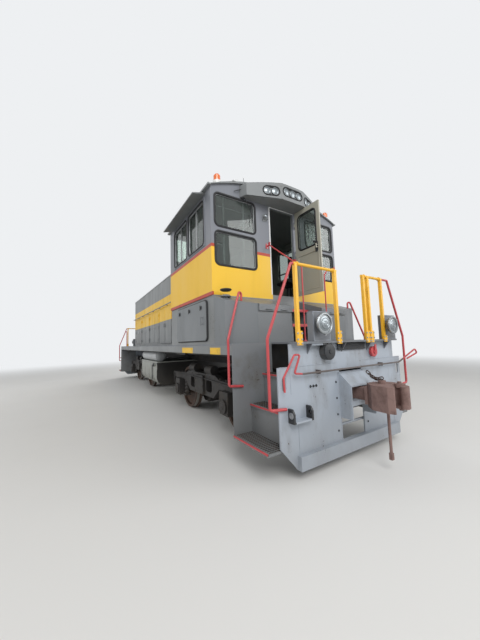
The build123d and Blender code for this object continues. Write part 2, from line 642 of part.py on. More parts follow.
with BuildPart() as lamp_housing:
    plan = [(CAB_X + x, -y) for x, y in HOUSING_PLAN]
    plan_prism(plan + [(CAB_X + x, y) for x, y in reversed(HOUSING_PLAN)], (HOUSING_LOW, CROWN_Z))
    roofline = arched_face(end_plane(CAB_X - 1), CAB_Y, EAVE_Z - 400, EAVE_Z - 10, CROWN_Z - 90)
    extrude(roofline, amount=max(x for x, y in HOUSING_PLAN) + 10, mode=Mode.INTERSECT)
    for middle, bulbs, height in LAMP_GROUPS:
        plane = facet_plane(middle)
        with BuildSketch(plane, mode=Mode.PRIVATE) as recess:
            with Locations((0, height)):
                SlotCenterToCenter((bulbs - 1) * BULB_STEP, 2 * BULB_R + 30)
        extrude(recess.sketch, amount=-LAMP_RECESS, mode=Mode.SUBTRACT)
        with BuildSketch(plane.offset(-LAMP_RECESS), mode=Mode.PRIVATE) as lenses:
            with Locations((0, height)):
                with GridLocations(BULB_STEP, 1, bulbs, 1):
                    Circle(BULB_R)
        extrude(lenses.sketch, amount=LAMP_RECESS - 6, taper=8)
parts["lamp_housing"] = lamp_housing

# Awnings over the side windows
AWNING_OUT = 230
AWNING_T = 20
with BuildPart() as awnings:
    edge = ((CAB_Y, EAVE_Z - 28), (CAB_Y + AWNING_OUT, EAVE_Z - 88))
    end_prism(edge + tuple((y, z - AWNING_T) for y, z in reversed(edge)), (CAB_X - 1900, CAB_X - 200))
    mirror(awnings.part, about=Plane.XZ)
parts["window_awnings"] = awnings

# Cab doors
with BuildPart() as end_door:
    leaf_x = (END_HINGE[0] + LEAF_GAP, END_HINGE[0] + 2 * DOOR_Y + 40)
    near = END_HINGE[1] - HINGE_OFF + SWING_GAP
    leaf_y = (near, near + LEAF_T)
    slab(leaf_x, leaf_y, (FLOOR_Z + SWING_GAP, DOOR_TOP + SWING_GAP))
    round_window((leaf_x[0] + 90, leaf_x[1] - 90), (leaf_y[0] - 1, leaf_y[1] + 1),
                 (FLOOR_Z + 882, DOOR_TOP - 108), WINDOW_R, "Y")
    round_window((leaf_x[0] + 70, leaf_x[1] - 70), (leaf_y[0] - 1, leaf_y[0] + 6),
                 (FLOOR_Z + 90, FLOOR_Z + 760), 30, "Y")
    for z in END_HINGE_Z:
        leaf_knuckle(*END_HINGE, z, leaf_x[0] + STRAP_LAP, "X")
    handle(leaf_x[1] - 60, leaf_y[0] - HANDLE_OUT, (FLOOR_Z + 790, FLOOR_Z + 870), leaf_y[0], "Y")
    handle(leaf_x[1] - 60, leaf_y[1] + HANDLE_OUT, (FLOOR_Z + 790, FLOOR_Z + 870), leaf_y[1], "Y")
parts["cab_end_door"] = end_door

with BuildPart() as walk_door:
    leaf_x = (REAR_X - SWING_GAP - LEAF_T, REAR_X - SWING_GAP)
    slab(leaf_x, (WALK_DOOR_Y[0] - 15, WALK_HINGE[1] - LEAF_GAP), (FLOOR_Z + SWING_GAP, WALK_DOOR_TOP + 10))
    round_window((leaf_x[0] - 1, leaf_x[1] + 1), (WALK_DOOR_Y[0] + 60, WALK_DOOR_Y[1] - 70),
                 (FLOOR_Z + 882, WALK_DOOR_TOP - 100), WINDOW_R, "X")
    for z in WALK_HINGE_Z:
        leaf_knuckle(*WALK_HINGE, z, WALK_HINGE[1] - LEAF_GAP - STRAP_LAP, "Y")
    handle(leaf_x[0] - HANDLE_OUT, WALK_DOOR_Y[0] + 30, (FLOOR_Z + 790, FLOOR_Z + 870), leaf_x[0], "X")
parts["cab_walkway_door"] = walk_door

# Glass panes in the fixed windows, in the middle of the walls
with BuildPart() as glass:
    for side in (-1, 1):
        for z in END_WINDOW_Z:
            round_window((CAB_X - WALL_T / 2, CAB_X - WALL_T / 2 + GLASS_T),
                         (side * END_WINDOW_Y[0], side * END_WINDOW_Y[1]), z, WINDOW_R, "X", mode=Mode.ADD)
        pane_y = (side * (CAB_Y - WALL_T / 2), side * (CAB_Y - WALL_T / 2 + GLASS_T))
        for x in SIDE_WINDOW_X:
            round_window(x, pane_y, SIDE_WINDOW_Z, WINDOW_R, "Y", mode=Mode.ADD)
    for z in END_WINDOW_Z:
        round_window((REAR_X + WALL_T / 2, REAR_X + WALL_T / 2 + GLASS_T),
                     (-WALK_DOOR_Y[1], -WALK_DOOR_Y[0]), z, WINDOW_R, "X", mode=Mode.ADD)
parts["cab_glass"] = glass

# Inside the cab: control stand with a sloped desk, two seats on pedestals
STAND_X = CAB_X - 705  # rear face of the stand
STAND_Y = (-500, -100)
SEAT_X = CAB_X - 755
SEAT_Y = 1050
SEAT_HALF = 230
SEAT_H = 500
with BuildPart() as control_stand:
    side_prism([(STAND_X - x, FLOOR_Z + z) for x, z in (
        (0, 0), (600, 0), (600, 580), (700, 640), (640, 760), (420, 982), (0, 982))], STAND_Y)
parts["control_stand"] = control_stand
with BuildPart() as seats:
    for y in (-SEAT_Y, SEAT_Y):
        slab((SEAT_X - 500, SEAT_X), (y - SEAT_HALF, y + SEAT_HALF),
             (FLOOR_Z + SEAT_H, FLOOR_Z + SEAT_H + 100))
        slab((SEAT_X - 50, SEAT_X + 30), (y - SEAT_HALF + 10, y + SEAT_HALF - 10),
             (FLOOR_Z + SEAT_H + 100, FLOOR_Z + SEAT_H + 650))
        rod((SEAT_X - 250, y, FLOOR_Z + SEAT_H / 2), 60, SEAT_H)
parts["cab_seats"] = seats

# Hood: arched shell with raised door panels, door openings, nose grille and roof hatches
HOOD_HINGE_Z = (HOOD_DOOR_Z[0] + 120, sum(HOOD_DOOR_Z) / 2, HOOD_DOOR_Z[1] - 120)
HOOD_DOOR_X = (HOOD_DOOR_MID - HOOD_DOOR_W / 2, HOOD_DOOR_MID + HOOD_DOOR_W / 2)
PANEL_GAP = 10
FIXED_PAIRS = (-3, -2, -1, 1)
FAN_X = (-4500, -3600)
FAN_R = 360
HATCH_X = (-2150, -1200)
NOSE_LAMP_Z = HOOD_EAVE - 120
with BuildPart() as hood:
    extrude(arched_face(end_plane(HOOD_X), HOOD_Y, DECK_TOP, HOOD_EAVE, HOOD_CROWN), amount=REAR_X - HOOD_X)
    extrude(arched_face(end_plane(HOOD_X + HOOD_T), HOOD_Y - HOOD_T, DECK_TOP, HOOD_EAVE - HOOD_T / 2,
                        HOOD_CROWN - HOOD_T), amount=REAR_X - HOOD_X, mode=Mode.SUBTRACT)
    for side in (-1, 1):
        for pair in FIXED_PAIRS:
            middle = HOOD_DOOR_MID + pair * HOOD_DOOR_STEP
            for low, high in ((middle - HOOD_DOOR_W / 2, middle - PANEL_GAP / 2),
                              (middle + PANEL_GAP / 2, middle + HOOD_DOOR_W / 2)):
                slab((low, high), (side * HOOD_Y, side * (HOOD_Y + PANEL_T)), HOOD_DOOR_Z)
    slab(HOOD_DOOR_X, (-HOOD_Y - 1, HOOD_Y + 1), HOOD_DOOR_Z, mode=Mode.SUBTRACT)
    slab((HOOD_X - 1, HOOD_X + HOOD_T + 1), (-GRILLE_Y, GRILLE_Y), GRILLE_Z, mode=Mode.SUBTRACT)
    for z in range(int(GRILLE_Z[0]) + 50, int(GRILLE_Z[1]), SLAT_STEP):
        side_prism(((HOOD_X, z - 35), (HOOD_X + HOOD_T, z + 15), (HOOD_X + HOOD_T, z + 35), (HOOD_X, z - 15)),
                   (-GRILLE_Y, GRILLE_Y))
    for side in (-1, 1):
        for x in (HOOD_DOOR_X[0] - HOOD_HINGE_OUT, HOOD_DOOR_X[1] + HOOD_HINGE_OUT):
            for z in HOOD_HINGE_Z:
                knuckles(x, side * (HOOD_Y + HINGE_OFF), z, side * HOOD_Y, "Y")
    crown_z = HOOD_CROWN - HOOD_T / 2
    for x in FAN_X:
        rod((x, 0, crown_z + 40), FAN_R, 80)
        rod((x, 0, crown_z + 50), FAN_R - 25, 80, mode=Mode.SUBTRACT)
        rod((x, 0, crown_z + 30), FAN_R / 3, 60)
        for turn in range(4):
            with Locations(Location((x, 0, crown_z + 60), (0, 0, 45 * turn))):
                Box(2 * FAN_R - 30, 16, 20)
    slab(HATCH_X, (-300, 300), (crown_z - 20, HOOD_CROWN + 30))
    slab((HOOD_X - 60, HOOD_X), (-230, 230), (NOSE_LAMP_Z - 110, NOSE_LAMP_Z + 110))
    for y in (-110, 110):
        rod((HOOD_X - 65, y, NOSE_LAMP_Z), 80, 50, "X")
parts["hood_body"] = hood

for side, side_name in ((-1, "right"), (1, "left")):
    for hand, hand_name in ((-1, "rear"), (1, "front")):
        with BuildPart() as hood_door:
            edge = HOOD_DOOR_X[0 if hand < 0 else 1]
            hinge_x = edge + hand * HOOD_HINGE_OUT
            leaf_face = HOOD_Y + SWING_GAP + LEAF_T
            slab((edge + hand * DOOR_LAP, HOOD_DOOR_MID + hand * 3), (HOOD_Y + SWING_GAP, leaf_face),
                 (HOOD_DOOR_Z[0] - DOOR_LAP, HOOD_DOOR_Z[1] + DOOR_LAP))
            for z in HOOD_HINGE_Z:
                leaf_knuckle(hinge_x, HOOD_Y + HINGE_OFF, z, edge + hand * (DOOR_LAP - STRAP_LAP), "X")
            handle(HOOD_DOOR_MID + hand * 60, leaf_face + HANDLE_OUT / 2,
                   (HOOD_HINGE_Z[1] - 60, HOOD_HINGE_Z[1] + 60), leaf_face, "Y")
            if side < 0:
                mirror(hood_door.part, about=Plane.XZ, mode=Mode.REPLACE)
        parts[f"hood_door_{side_name}_{hand_name}"] = hood_door

# Exhaust stacks with flared collars
STACK_X = (-600, -2600)
STACK = (200, 130, 250)  # half length, half width, height over the crown
with BuildPart() as stacks:
    for x in STACK_X:
        slab((x - STACK[0], x + STACK[0]), (-STACK[1], STACK[1]), (HOOD_CROWN - 15, HOOD_CROWN + STACK[2]))
        slab((x - STACK[0] - 25, x + STACK[0] + 25), (-STACK[1] - 25, STACK[1] + 25),
             (HOOD_CROWN - 15, HOOD_CROWN + 40))
        extrude(arched_face(end_plane(x - STACK[0] - 26), HOOD_Y, DECK_TOP, HOOD_EAVE, HOOD_CROWN),
                amount=2 * STACK[0] + 52, mode=Mode.SUBTRACT)
        slab((x - STACK[0] + 20, x + STACK[0] - 20), (-STACK[1] + 20, STACK[1] - 20),
             (HOOD_CROWN + 60, HOOD_CROWN + STACK[2] + 1), mode=Mode.SUBTRACT)
parts["exhaust_stacks"] = stacks
ENGINE_X = (-3300, 1500)
with BuildPart() as engine:
    slab(ENGINE_X, (-600, 600), (DECK_TOP, HOOD_EAVE - 480))
parts["engine_block"] = engine
RADIATOR_D = 360
with BuildPart() as radiator:
    slab((HOOD_X + HOOD_T, HOOD_X + HOOD_T + RADIATOR_D), (-GRILLE_Y - 80, GRILLE_Y + 80),
         (DECK_TOP, GRILLE_Z[1] + 100))
parts["radiator"] = radiator

# Yellow end frames: square posts with feet on the deck lip, and a round bar across their tops
FRAME_BAR_R = 20
BAR_OVER = 10  # bar end past the outer posts
FRAME_TOP_Z = DECK_TOP + 949
FOOT_H = (130, 60)  # of most posts, and of the one beside a lamp
FOOT_SIDE = 22
FOOT_T = 12
FOOT_DROP = 40  # foot plate below the deck top, in front of its lip
END_FRAMES = ((-1061, -331), (317, 425, 778))  # posts of each frame
with BuildPart() as frames:
    for end in (-1, 1):
        x = (end * (POST_FRONT_X - 2 * POST_HALF), end * POST_FRONT_X)
        for posts in END_FRAMES:
            for y in posts:
                slab(x, (y - POST_HALF, y + POST_HALF), (DECK_TOP, FRAME_TOP_Z))
                foot_y = (y - POST_HALF - FOOT_SIDE, y + POST_HALF + FOOT_SIDE)
                foot_top = DECK_TOP + FOOT_H[y == END_FRAMES[1][-1]]
                slab((x[1] - end * FOOT_T, x[1]), foot_y, (DECK_TOP, foot_top))
                slab((x[1], x[1] + end * FOOT_T), foot_y, (DECK_TOP - FOOT_DROP, foot_top))
            rod((sum(x) / 2, (posts[0] + posts[-1]) / 2, FRAME_TOP_Z), FRAME_BAR_R,
                posts[-1] - posts[0] + 2 * (POST_HALF + BAR_OVER), "Y")
parts["end_frames"] = frames

# Red handrails: from the frames down beside the steps, from the box corners, and along the cab steps
RAIL_BEND = 34
SHOULDER_Y = (1125, 985)  # where the front rails turn down, right and left
RAIL_SIDE = 1475
STEP_RAIL_Z = (1655, 870, 850)  # bend beside the deck, foot, foot end
STEP_RAIL_END_Y = 1240
CORNER_RAIL_Y = (1250, 1557, 1340)  # top, side and foot end
CORNER_RAIL_Z = (2500, 1665, 1050, 1030)
CORNER_RAIL_X = CAB_X + 430
STAIR_R = 11
STAIR_BEND = 30
with BuildPart() as rails:
    for end in (-1, 1):
        for side in (-1, 1):
            post_y = -END_FRAMES[0][0] if side < 0 else END_FRAMES[1][-1]
            shoulder = SHOULDER_Y[0] if side < 0 else SHOULDER_Y[1]
            post_x = POST_FRONT_X - POST_HALF
            plate_x = END_X + RAIL_R + RUN_GAP
            bar_end = post_y + POST_HALF + BAR_OVER + RUN_GAP
            tube([(end * x, side * y, z) for x, y, z in (
                (post_x, bar_end, FRAME_TOP_Z), (post_x, shoulder, FRAME_TOP_Z),
                (plate_x, RAIL_SIDE, STEP_RAIL_Z[0]), (plate_x, RAIL_SIDE, STEP_RAIL_Z[1]),
                (plate_x, STEP_RAIL_END_Y, STEP_RAIL_Z[2]))], RAIL_R, RAIL_BEND)
            panel_x = STEP_X[0] + RAIL_R + RUN_GAP
            foot_z = box_top(CORNER_RAIL_X - RAIL_R) if end > 0 else DECK_TOP
            top_y, side_y, end_y = CORNER_RAIL_Y
            tube([(end * x, side * y, z) for x, y, z in (
                (CORNER_RAIL_X, top_y, foot_z + RUN_GAP), (CORNER_RAIL_X, top_y, CORNER_RAIL_Z[0]),
                (panel_x, side_y, CORNER_RAIL_Z[1]), (panel_x, side_y, CORNER_RAIL_Z[2]),
                (panel_x, end_y, CORNER_RAIL_Z[3]))], RAIL_R, RAIL_BEND)
    tube([(CAB_X + x, y, z) for x, y, z in (
        (RUN_GAP, -378, 3362), (70, -378, 3362), (715, -270, 2800), (715, -270, DECK_TOP + RUN_GAP))],
        STAIR_R, STAIR_BEND)
    tube([(CAB_X + x, y, z) for x, y, z in (
        (RUN_GAP, 450, 3300), (70, 450, 3300), (645, 430, 2850), (675, 310, 2740),
        (675, 310, DECK_TOP + RUN_GAP))], STAIR_R, STAIR_BEND)
parts["stair_rails"] = rails

# Rails along the hood
HOOD_RAIL_Z = DECK_TOP + 1267
HOOD_RAIL_OUT = 90
HOOD_RAIL_R = 16
HOOD_RAIL_PITCH = 900
HOOD_RAIL_X = (HOOD_X + 150, REAR_X - 355)
with BuildPart() as hood_rails:
    for side in (-1, 1):
        rod((sum(HOOD_RAIL_X) / 2, side * (HOOD_Y + HOOD_RAIL_OUT), HOOD_RAIL_Z), HOOD_RAIL_R,
            HOOD_RAIL_X[1] - HOOD_RAIL_X[0], "X")
        for x in range(int(HOOD_RAIL_X[0]) + 100, int(HOOD_RAIL_X[1]), HOOD_RAIL_PITCH):
            rod((x, side * (HOOD_Y + HOOD_RAIL_OUT / 2), HOOD_RAIL_Z), HOOD_RAIL_R - 4, HOOD_RAIL_OUT, "Y")
parts["hood_rails"] = hood_rails

# Fuel tank with straps and fillers, and the air reservoirs over it
STRAP_W = 70
STRAP_T = 8
with BuildPart() as tank:
    slab(TANK_X, (-TANK_Y + STRAP_T, TANK_Y - STRAP_T), (TANK_Z[0] + STRAP_T, TANK_Z[1]))
    fillet(tank.edges().filter_by(Axis.X).group_by(Axis.Z)[0], TANK_R)
    for x in (TANK_X[0] + 10, -800, -215, 370, TANK_X[1] - 10 - STRAP_W):
        with BuildSketch(end_plane(x), mode=Mode.PRIVATE) as strap:
            with Locations((0, sum(TANK_Z) / 2)):
                Rectangle(2 * TANK_Y, TANK_Z[1] - TANK_Z[0])
            fillet(strap.vertices().group_by(Axis.Z)[0], TANK_R + STRAP_T)
        extrude(strap.sketch, amount=STRAP_W)
    for side in (-1, 1):
        rod((TANK_X[1] - 250, side * (TANK_Y - 20), TANK_Z[1] - 90), 55, 110, "Y")
parts["fuel_tank"] = tank
with BuildPart() as reservoirs:
    for side in (-1, 1):
        middle = (sum(TANK_X) / 2, side * RESERVOIR_Y, TANK_Z[1] + RESERVOIR_R + 2)
        rod(middle, RESERVOIR_R, RESERVOIR_L, "X")
        for end in (-1, 1):
            cap = (middle[0] + end * RESERVOIR_L / 2, middle[1], middle[2])
            turned(Plane(origin=cap, x_dir=(0, 1, 0), z_dir=(0, 0, end)),
                   ((0, 5), (RESERVOIR_R, 5), (RESERVOIR_R - 12, -45), (RESERVOIR_R / 2, -80), (0, -92)))
        for x in (-1000, 300):
            slab((x - 20, x + 20), (middle[1] - 100, middle[1] + 100), (middle[2] + 100, DECK_LOW))
parts["air_reservoirs"] = reservoirs

# Couplers: shank, head with guard arm, curved knuckle and its pin, lock lifter rod under the head
GUARD = ((120, -200), (330, -225), (400, -190), (330, -70), (262, 20))  # from the head's root, guard side
KNUCKLE_Y = (35, 205)
KNUCKLE_HALF_Z = 130
KNUCKLE_PIN = (HEAD_X + 285, 150)
ROD_LOW = 170
for end, name in ((1, "cab"), (-1, "nose")):
    with BuildPart() as coupler:
        slab((PIVOT_X - 90, HEAD_X + 20), (-SHANK_Y, SHANK_Y), (COUPLER_Z - SHANK_Z, COUPLER_Z + SHANK_Z))
        rod((PIVOT_X, 0, COUPLER_Z), PIN_R + RUN_GAP, 2 * SHANK_Z + 10, mode=Mode.SUBTRACT)
        slab((HEAD_X - 15, HEAD_X + 25), (-130, 130), (COUPLER_Z - 115, COUPLER_Z + 115))
        with BuildSketch(Plane.XY.offset(COUPLER_Z - HEAD_HALF_Z), mode=Mode.PRIVATE) as head_plan:
            with BuildLine():
                guard = Polyline((HEAD_X, -90), *[(HEAD_X + x, y) for x, y in GUARD])
                throat = ThreePointArc(guard @ 1, (HEAD_X + 245, 75), (HEAD_X + 262, 130))
                Polyline(throat @ 1, (HEAD_X + 330, 205), (HEAD_X + 120, 200), (HEAD_X, 90), (HEAD_X, -90))
            make_face()
        extrude(head_plan.sketch, amount=2 * HEAD_HALF_Z)
        chamfer(coupler.edges().filter_by(Axis.Z).group_by(Axis.X)[-1], 12)
        with BuildSketch(Plane.XY.offset(COUPLER_Z - KNUCKLE_HALF_Z), mode=Mode.PRIVATE) as knuckle_plan:
            with BuildLine():
                outer_arc = ThreePointArc((HEAD_X + 250, KNUCKLE_Y[1]), (FACE_X - 35, 175), (FACE_X, 90))
                tip = (FACE_X - 75, KNUCKLE_Y[0] + 5)
                nose = ThreePointArc(outer_arc @ 1, (FACE_X - 12, KNUCKLE_Y[0]), tip)
                inner_arc = ThreePointArc(nose @ 1, (FACE_X - 85, 90), (HEAD_X + 250, 110))
                Line(inner_arc @ 1, outer_arc @ 0)
            make_face()
        extrude(knuckle_plan.sketch, amount=2 * KNUCKLE_HALF_Z)
        rod((*KNUCKLE_PIN, COUPLER_Z), 24, 2 * HEAD_HALF_Z + 50)
        for low in (COUPLER_Z - HEAD_HALF_Z, COUPLER_Z + HEAD_HALF_Z - 45):
            rod((*KNUCKLE_PIN, low + 22.5), 62, 45)
        rod((HEAD_X + 150, 0, COUPLER_Z + HEAD_HALF_Z + 15), 45, 50)
        rod((HEAD_X + 200, 0, (COUPLER_Z - HEAD_HALF_Z + ROD_LOW) / 2), RAIL_R,
            COUPLER_Z - HEAD_HALF_Z - ROD_LOW)
        slab((HEAD_X + 180, HEAD_X + 220), (-22, 22), (ROD_LOW - 20, ROD_LOW + 60))
        if end < 0:
            mirror(coupler.part, about=Plane.YZ, mode=Mode.REPLACE)
    parts["coupler_" + name] = coupler

# Uncoupling levers on their brackets
LEVER_X = END_X + LIP_D
LEVER_R = 12
LEVER_BEND = 20
LEVER_Z = 1230
with BuildPart() as levers:
    for end in (-1, 1):
        tube([(end * (LEVER_X + x), y, LEVER_Z + z) for x, y, z in (
            (0, -1290, -180), (0, -1300, -20), (0, -1120, 230), (0, -1030, 230), (0, -1130, 15), (0, -980, 0),
            (0, 1200, 0), (150, 1430, 205), (150, 1490, 140), (60, 1340, 50))], LEVER_R, LEVER_BEND)
        for y in (-700, 700):
            slab((end * END_X, end * (LEVER_X + 10)), (y - 10, y + 10), (LEVER_Z - 25, LEVER_Z + 25))
        tube(((end * LEVER_X, 60, LEVER_Z), (end * (LEVER_X + 150), 60, LEVER_Z - 30)), LEVER_R, LEVER_BEND)
parts["uncoupling_levers"] = levers

# Headlamps on the lamp boxes: spun bowls with a rim and a hollow reflector
LAMP_Y = (-700, 870)
LAMP_Z = DECK_TOP + 215
BOWL = (  # radius, distance from the box face
    (0, 0), (45, 0), (45, 30), (98, 38), (126, 80), (134, 86), (134, 106), (119, 106), (108, 86), (60, 48),
    (0, 40),
)
with BuildPart() as lamps:
    for end in (-1, 1):
        for y in LAMP_Y:
            seat = (end * (LAMP_BOX_X[1] + RUN_GAP), y, LAMP_Z)
            turned(Plane(origin=seat, x_dir=(0, 0, 1), z_dir=(0, end, 0)), BOWL)
parts["end_lamps"] = lamps

# Cab roof fittings: beacons on the corners, vents and a three-tone horn
BEACON_Y = 1350
BEACON = ((0, -60), (72, -60), (72, 55), (58, 62), (58, 150), (40, 178), (0, 188))
VENT_Y = (-900, 750)
HORN_X = CAB_X - 1250


def on_roof(y):
    """Height of the cab roof's top at one Y."""
    return roof_height(y, CAB_Y + ROOF_SIDE, EAVE_Z, CROWN_Z)


def roof_cut(x, length):
    """Take the cab roof's own volume away, so that what stands on it seats on the arch."""
    extrude(arched_face(end_plane(x), CAB_Y + ROOF_SIDE, EAVE_Z - 200, EAVE_Z, CROWN_Z), amount=length,
            mode=Mode.SUBTRACT)


with BuildPart() as beacons:
    for y in (-BEACON_Y, BEACON_Y):
        turned(Plane(origin=(CAB_X - 60, y, on_roof(y)), x_dir=(1, 0, 0), z_dir=(0, -1, 0)), BEACON)
    roof_cut(CAB_X - 400, 500)
parts["beacons"] = beacons
with BuildPart() as fittings:
    for y in VENT_Y:
        slab((CAB_X - 300, CAB_X - 100), (y - 100, y + 100), (on_roof(y) - 30, on_roof(y) + 60))
        end_prism(((y - 125, on_roof(y) + 60), (y + 125, on_roof(y) + 60), (y + 60, on_roof(y) + 100),
                   (y - 60, on_roof(y) + 100)), (CAB_X - 320, CAB_X - 80))
    slab((HORN_X - 60, HORN_X + 60), (-180, 180), (CROWN_Z - 30, CROWN_Z + 25))
    for y, length in ((-120, 330), (0, 420), (120, 280)):
        turned(Plane(origin=(HORN_X - 60, y, CROWN_Z + 55), x_dir=(0, 0, 1), z_dir=(0, 1, 0)),
               ((0, 0), (30, 0), (22, 80), (28, length - 80), (55, length), (0, length - 40)))
        slab((HORN_X - 30, HORN_X + 30), (y - 10, y + 10), (CROWN_Z + 20, CROWN_Z + 55))
    roof_cut(HORN_X - 400, HORN_X + CAB_X)
parts["cab_roof_fittings"] = fittings

# Truck: cast side frames, journal boxes on coil springs, bolster, brake shoes and cylinders
FRAME_PROFILE = (  # X and Z of one half's outline, from the middle
    (0, FRAME_TOP), (700, FRAME_TOP), (AXLE_X - 350, 930), (FRAME_HALF, 900), (FRAME_HALF, 900 - FRAME_END_H),
    (AXLE_X + 360, 760), (AXLE_X - 350, 760), (620, FRAME_LOW), (0, FRAME_LOW),
)
SPRING_LOW = AXLE_Z - BOX_DROP + WING_T
SPRING_TOP = 765
SHOE_R = WHEEL_R + SWING_GAP + 3
with BuildPart() as truck_frame:
    half = list(FRAME_PROFILE)
    outline = half + [(-x, z) for x, z in reversed(half[1:-1])]
    for side in (-1, 1):
        side_prism(outline, (side * FRAME_IN, side * FRAME_OUT))
        round_window((-560, -290), (side * (FRAME_IN - 1), side * (FRAME_OUT + 1)), (650, 880), 60, "Y")
        round_window((290, 560), (side * (FRAME_IN - 1), side * (FRAME_OUT + 1)), (650, 880), 60, "Y")
        slab((-220, 220), (side * FRAME_OUT, side * (FRAME_OUT + 45)), (FRAME_LOW + 20, FRAME_TOP - 40))
        for x in (-430, 430):
            rod((x, side * (FRAME_OUT - 60), FRAME_TOP + 85), 95, 300, "X")
            slab((x - 120, x + 120), (side * FRAME_IN, side * FRAME_OUT), (FRAME_TOP - 5, FRAME_TOP + 30))
        for x in (-AXLE_X, AXLE_X):
            box_low = AXLE_Z - BOX_DROP
            slab((x - BOX_HALF, x + BOX_HALF), (side * (FRAME_IN - 20), side * BOX_OUT), (box_low, 780))
            slab((x - SPRING_X - 75, x + SPRING_X + 75), (side * (FRAME_IN + 5), side * (FRAME_OUT + 20)),
                 (box_low, SPRING_LOW))
            rod((x, side * (BOX_OUT + 10), AXLE_Z), 118, 40, "Y")
            rod((x, side * (FRAME_IN - 20 + AXLE_HALF + 20) / 2, AXLE_Z), JOURNAL_R + RUN_GAP,
                AXLE_HALF + 20 - (FRAME_IN - 20), "Y", mode=Mode.SUBTRACT)
            for shift in (-SPRING_X, SPRING_X):
                turn_h = (SPRING_TOP - SPRING_LOW) / SPRING_TURNS
                coil = [(0, SPRING_LOW)]
                for turn in range(SPRING_TURNS):
                    coil += [(SPRING_R - 22, SPRING_LOW + turn * turn_h),
                             (SPRING_R, SPRING_LOW + (turn + 0.5) * turn_h)]
                coil += [(SPRING_R - 22, SPRING_TOP), (0, SPRING_TOP)]
                turned(Plane(origin=(x + shift, side * (FRAME_IN + FRAME_OUT) / 2, 0), x_dir=(1, 0, 0),
                             z_dir=(0, -1, 0)), coil)
    slab((-TRANSOM_HALF, TRANSOM_HALF), (-FRAME_IN, FRAME_IN), (700, FRAME_TOP))
    for end in (-1, 1):
        slab((end * (FRAME_HALF - 70), end * FRAME_HALF), (-FRAME_IN, FRAME_IN), (790, 890))
        for side in (-1, 1):
            y = (side * SHOE_Y[0], side * SHOE_Y[1])
            outer_angles = (-28, 28) if end > 0 else (152, 208)
            arc_block(end * AXLE_X, AXLE_Z, (SHOE_R, SHOE_R + SHOE_T), outer_angles, y)
            hanger = end * (AXLE_X + SHOE_R + SHOE_T - 8)
            slab((hanger, hanger + end * 40), (side * 740, side * 780), (AXLE_Z - 60, 800))
    seat_h = TRUCK_SEAT_Z - RUN_GAP - FRAME_TOP
    rod((0, 0, FRAME_TOP + seat_h / 2), CENTRE_PLATE_R - 20, seat_h)

# Traction motors hung on their axles, each with its gear case
with BuildPart() as motors:
    for end in (-1, 1):
        with BuildSketch(side_plane(MOTOR_HALF_W), mode=Mode.PRIVATE) as motor_face:
            with Locations((end * MOTOR_X, AXLE_Z)):
                RegularPolygon(MOTOR_R, 8, major_radius=False, rotation=22.5)
        extrude(motor_face.sketch, amount=2 * MOTOR_HALF_W)
        rod((end * AXLE_X, 0, AXLE_Z), HUB_R, 2 * MOTOR_HALF_W, "Y")
        case_y = GEAR_Y[1] if end > 0 else -GEAR_Y[0]
        with BuildSketch(side_plane(case_y), mode=Mode.PRIVATE) as case_face:
            with Locations((end * AXLE_X, AXLE_Z)):
                Circle(GEAR_R)
            with Locations((end * MOTOR_X, AXLE_Z)):
                Circle(GEAR_R * 0.6)
            make_hull()
        extrude(case_face.sketch, amount=GEAR_Y[1] - GEAR_Y[0])
        slab((end * MOTOR_X - 100, end * MOTOR_X + 100), (end * (MOTOR_HALF_W - 1), end * GEAR_Y[0]),
             (AXLE_Z - 100, AXLE_Z + 100))
        rod((end * AXLE_X, 0, AXLE_Z), AXLE_R + RUN_GAP, 2 * GEAR_Y[1] + 2, "Y", mode=Mode.SUBTRACT)
        slab((end * TRANSOM_HALF, end * (MOTOR_X - MOTOR_R + 60)), (-300, 300), (700, 780))

# Wheelset: axle with journals, dished wheels with flanges
HUB_Y = (BACK_FACE - 30, BACK_FACE + 150)
with BuildPart() as wheelset:
    with BuildSketch(Plane.XY):
        with BuildLine():
            step = BACK_FACE + 185
            Polyline((0, -AXLE_HALF), (JOURNAL_R, -AXLE_HALF), (JOURNAL_R, -step - 5), (AXLE_R, -step + 5),
                     (AXLE_R, step - 5), (JOURNAL_R, step + 5), (JOURNAL_R, AXLE_HALF), (0, AXLE_HALF),
                     close=True)
        make_face()
        for side in (-1, 1):
            with BuildLine():
                Polyline(*[(r, side * y) for r, y in (
                    (0, HUB_Y[0]), (HUB_R, HUB_Y[0]), (HUB_R + 15, BACK_FACE + 10),
                    (WHEEL_R - RIM_T - 5, BACK_FACE + 60), (WHEEL_R - RIM_T + 12, BACK_FACE),
                    (WHEEL_R + FLANGE_H, BACK_FACE), (WHEEL_R + FLANGE_H, BACK_FACE + 14),
                    (WHEEL_R + 2, BACK_FACE + FLANGE_T), (WHEEL_R - 4, BACK_FACE + RIM_W),
                    (WHEEL_R - RIM_T + 2, BACK_FACE + RIM_W), (WHEEL_R - RIM_T - 15, BACK_FACE + 90),
                    (HUB_R + 20, BACK_FACE + 45), (HUB_R, HUB_Y[1]), (0, HUB_Y[1]))], close=True)
            make_face()
    revolve(axis=Axis.Y)

for end, name in ((1, "cab"), (-1, "nose")):
    for source, label in ((truck_frame, "truck_frame_"), (motors, "traction_motors_")):
        with BuildPart() as placed:
            with Locations((end * TRUCK_X, 0, 0)):
                add(source.part)
        parts[label + name] = placed
    for axle, place in ((1, "outer"), (-1, "inner")):
        with BuildPart() as placed:
            with Locations((end * (TRUCK_X + axle * AXLE_X), 0, AXLE_Z)):
                add(wheelset.part)
        parts[f"wheelset_{name}_{place}"] = placed

for name, piece in parts.items():
    piece.part.label = name
    export_step(piece.part, f"parts/{name}.step")
print(len(parts), "parts")
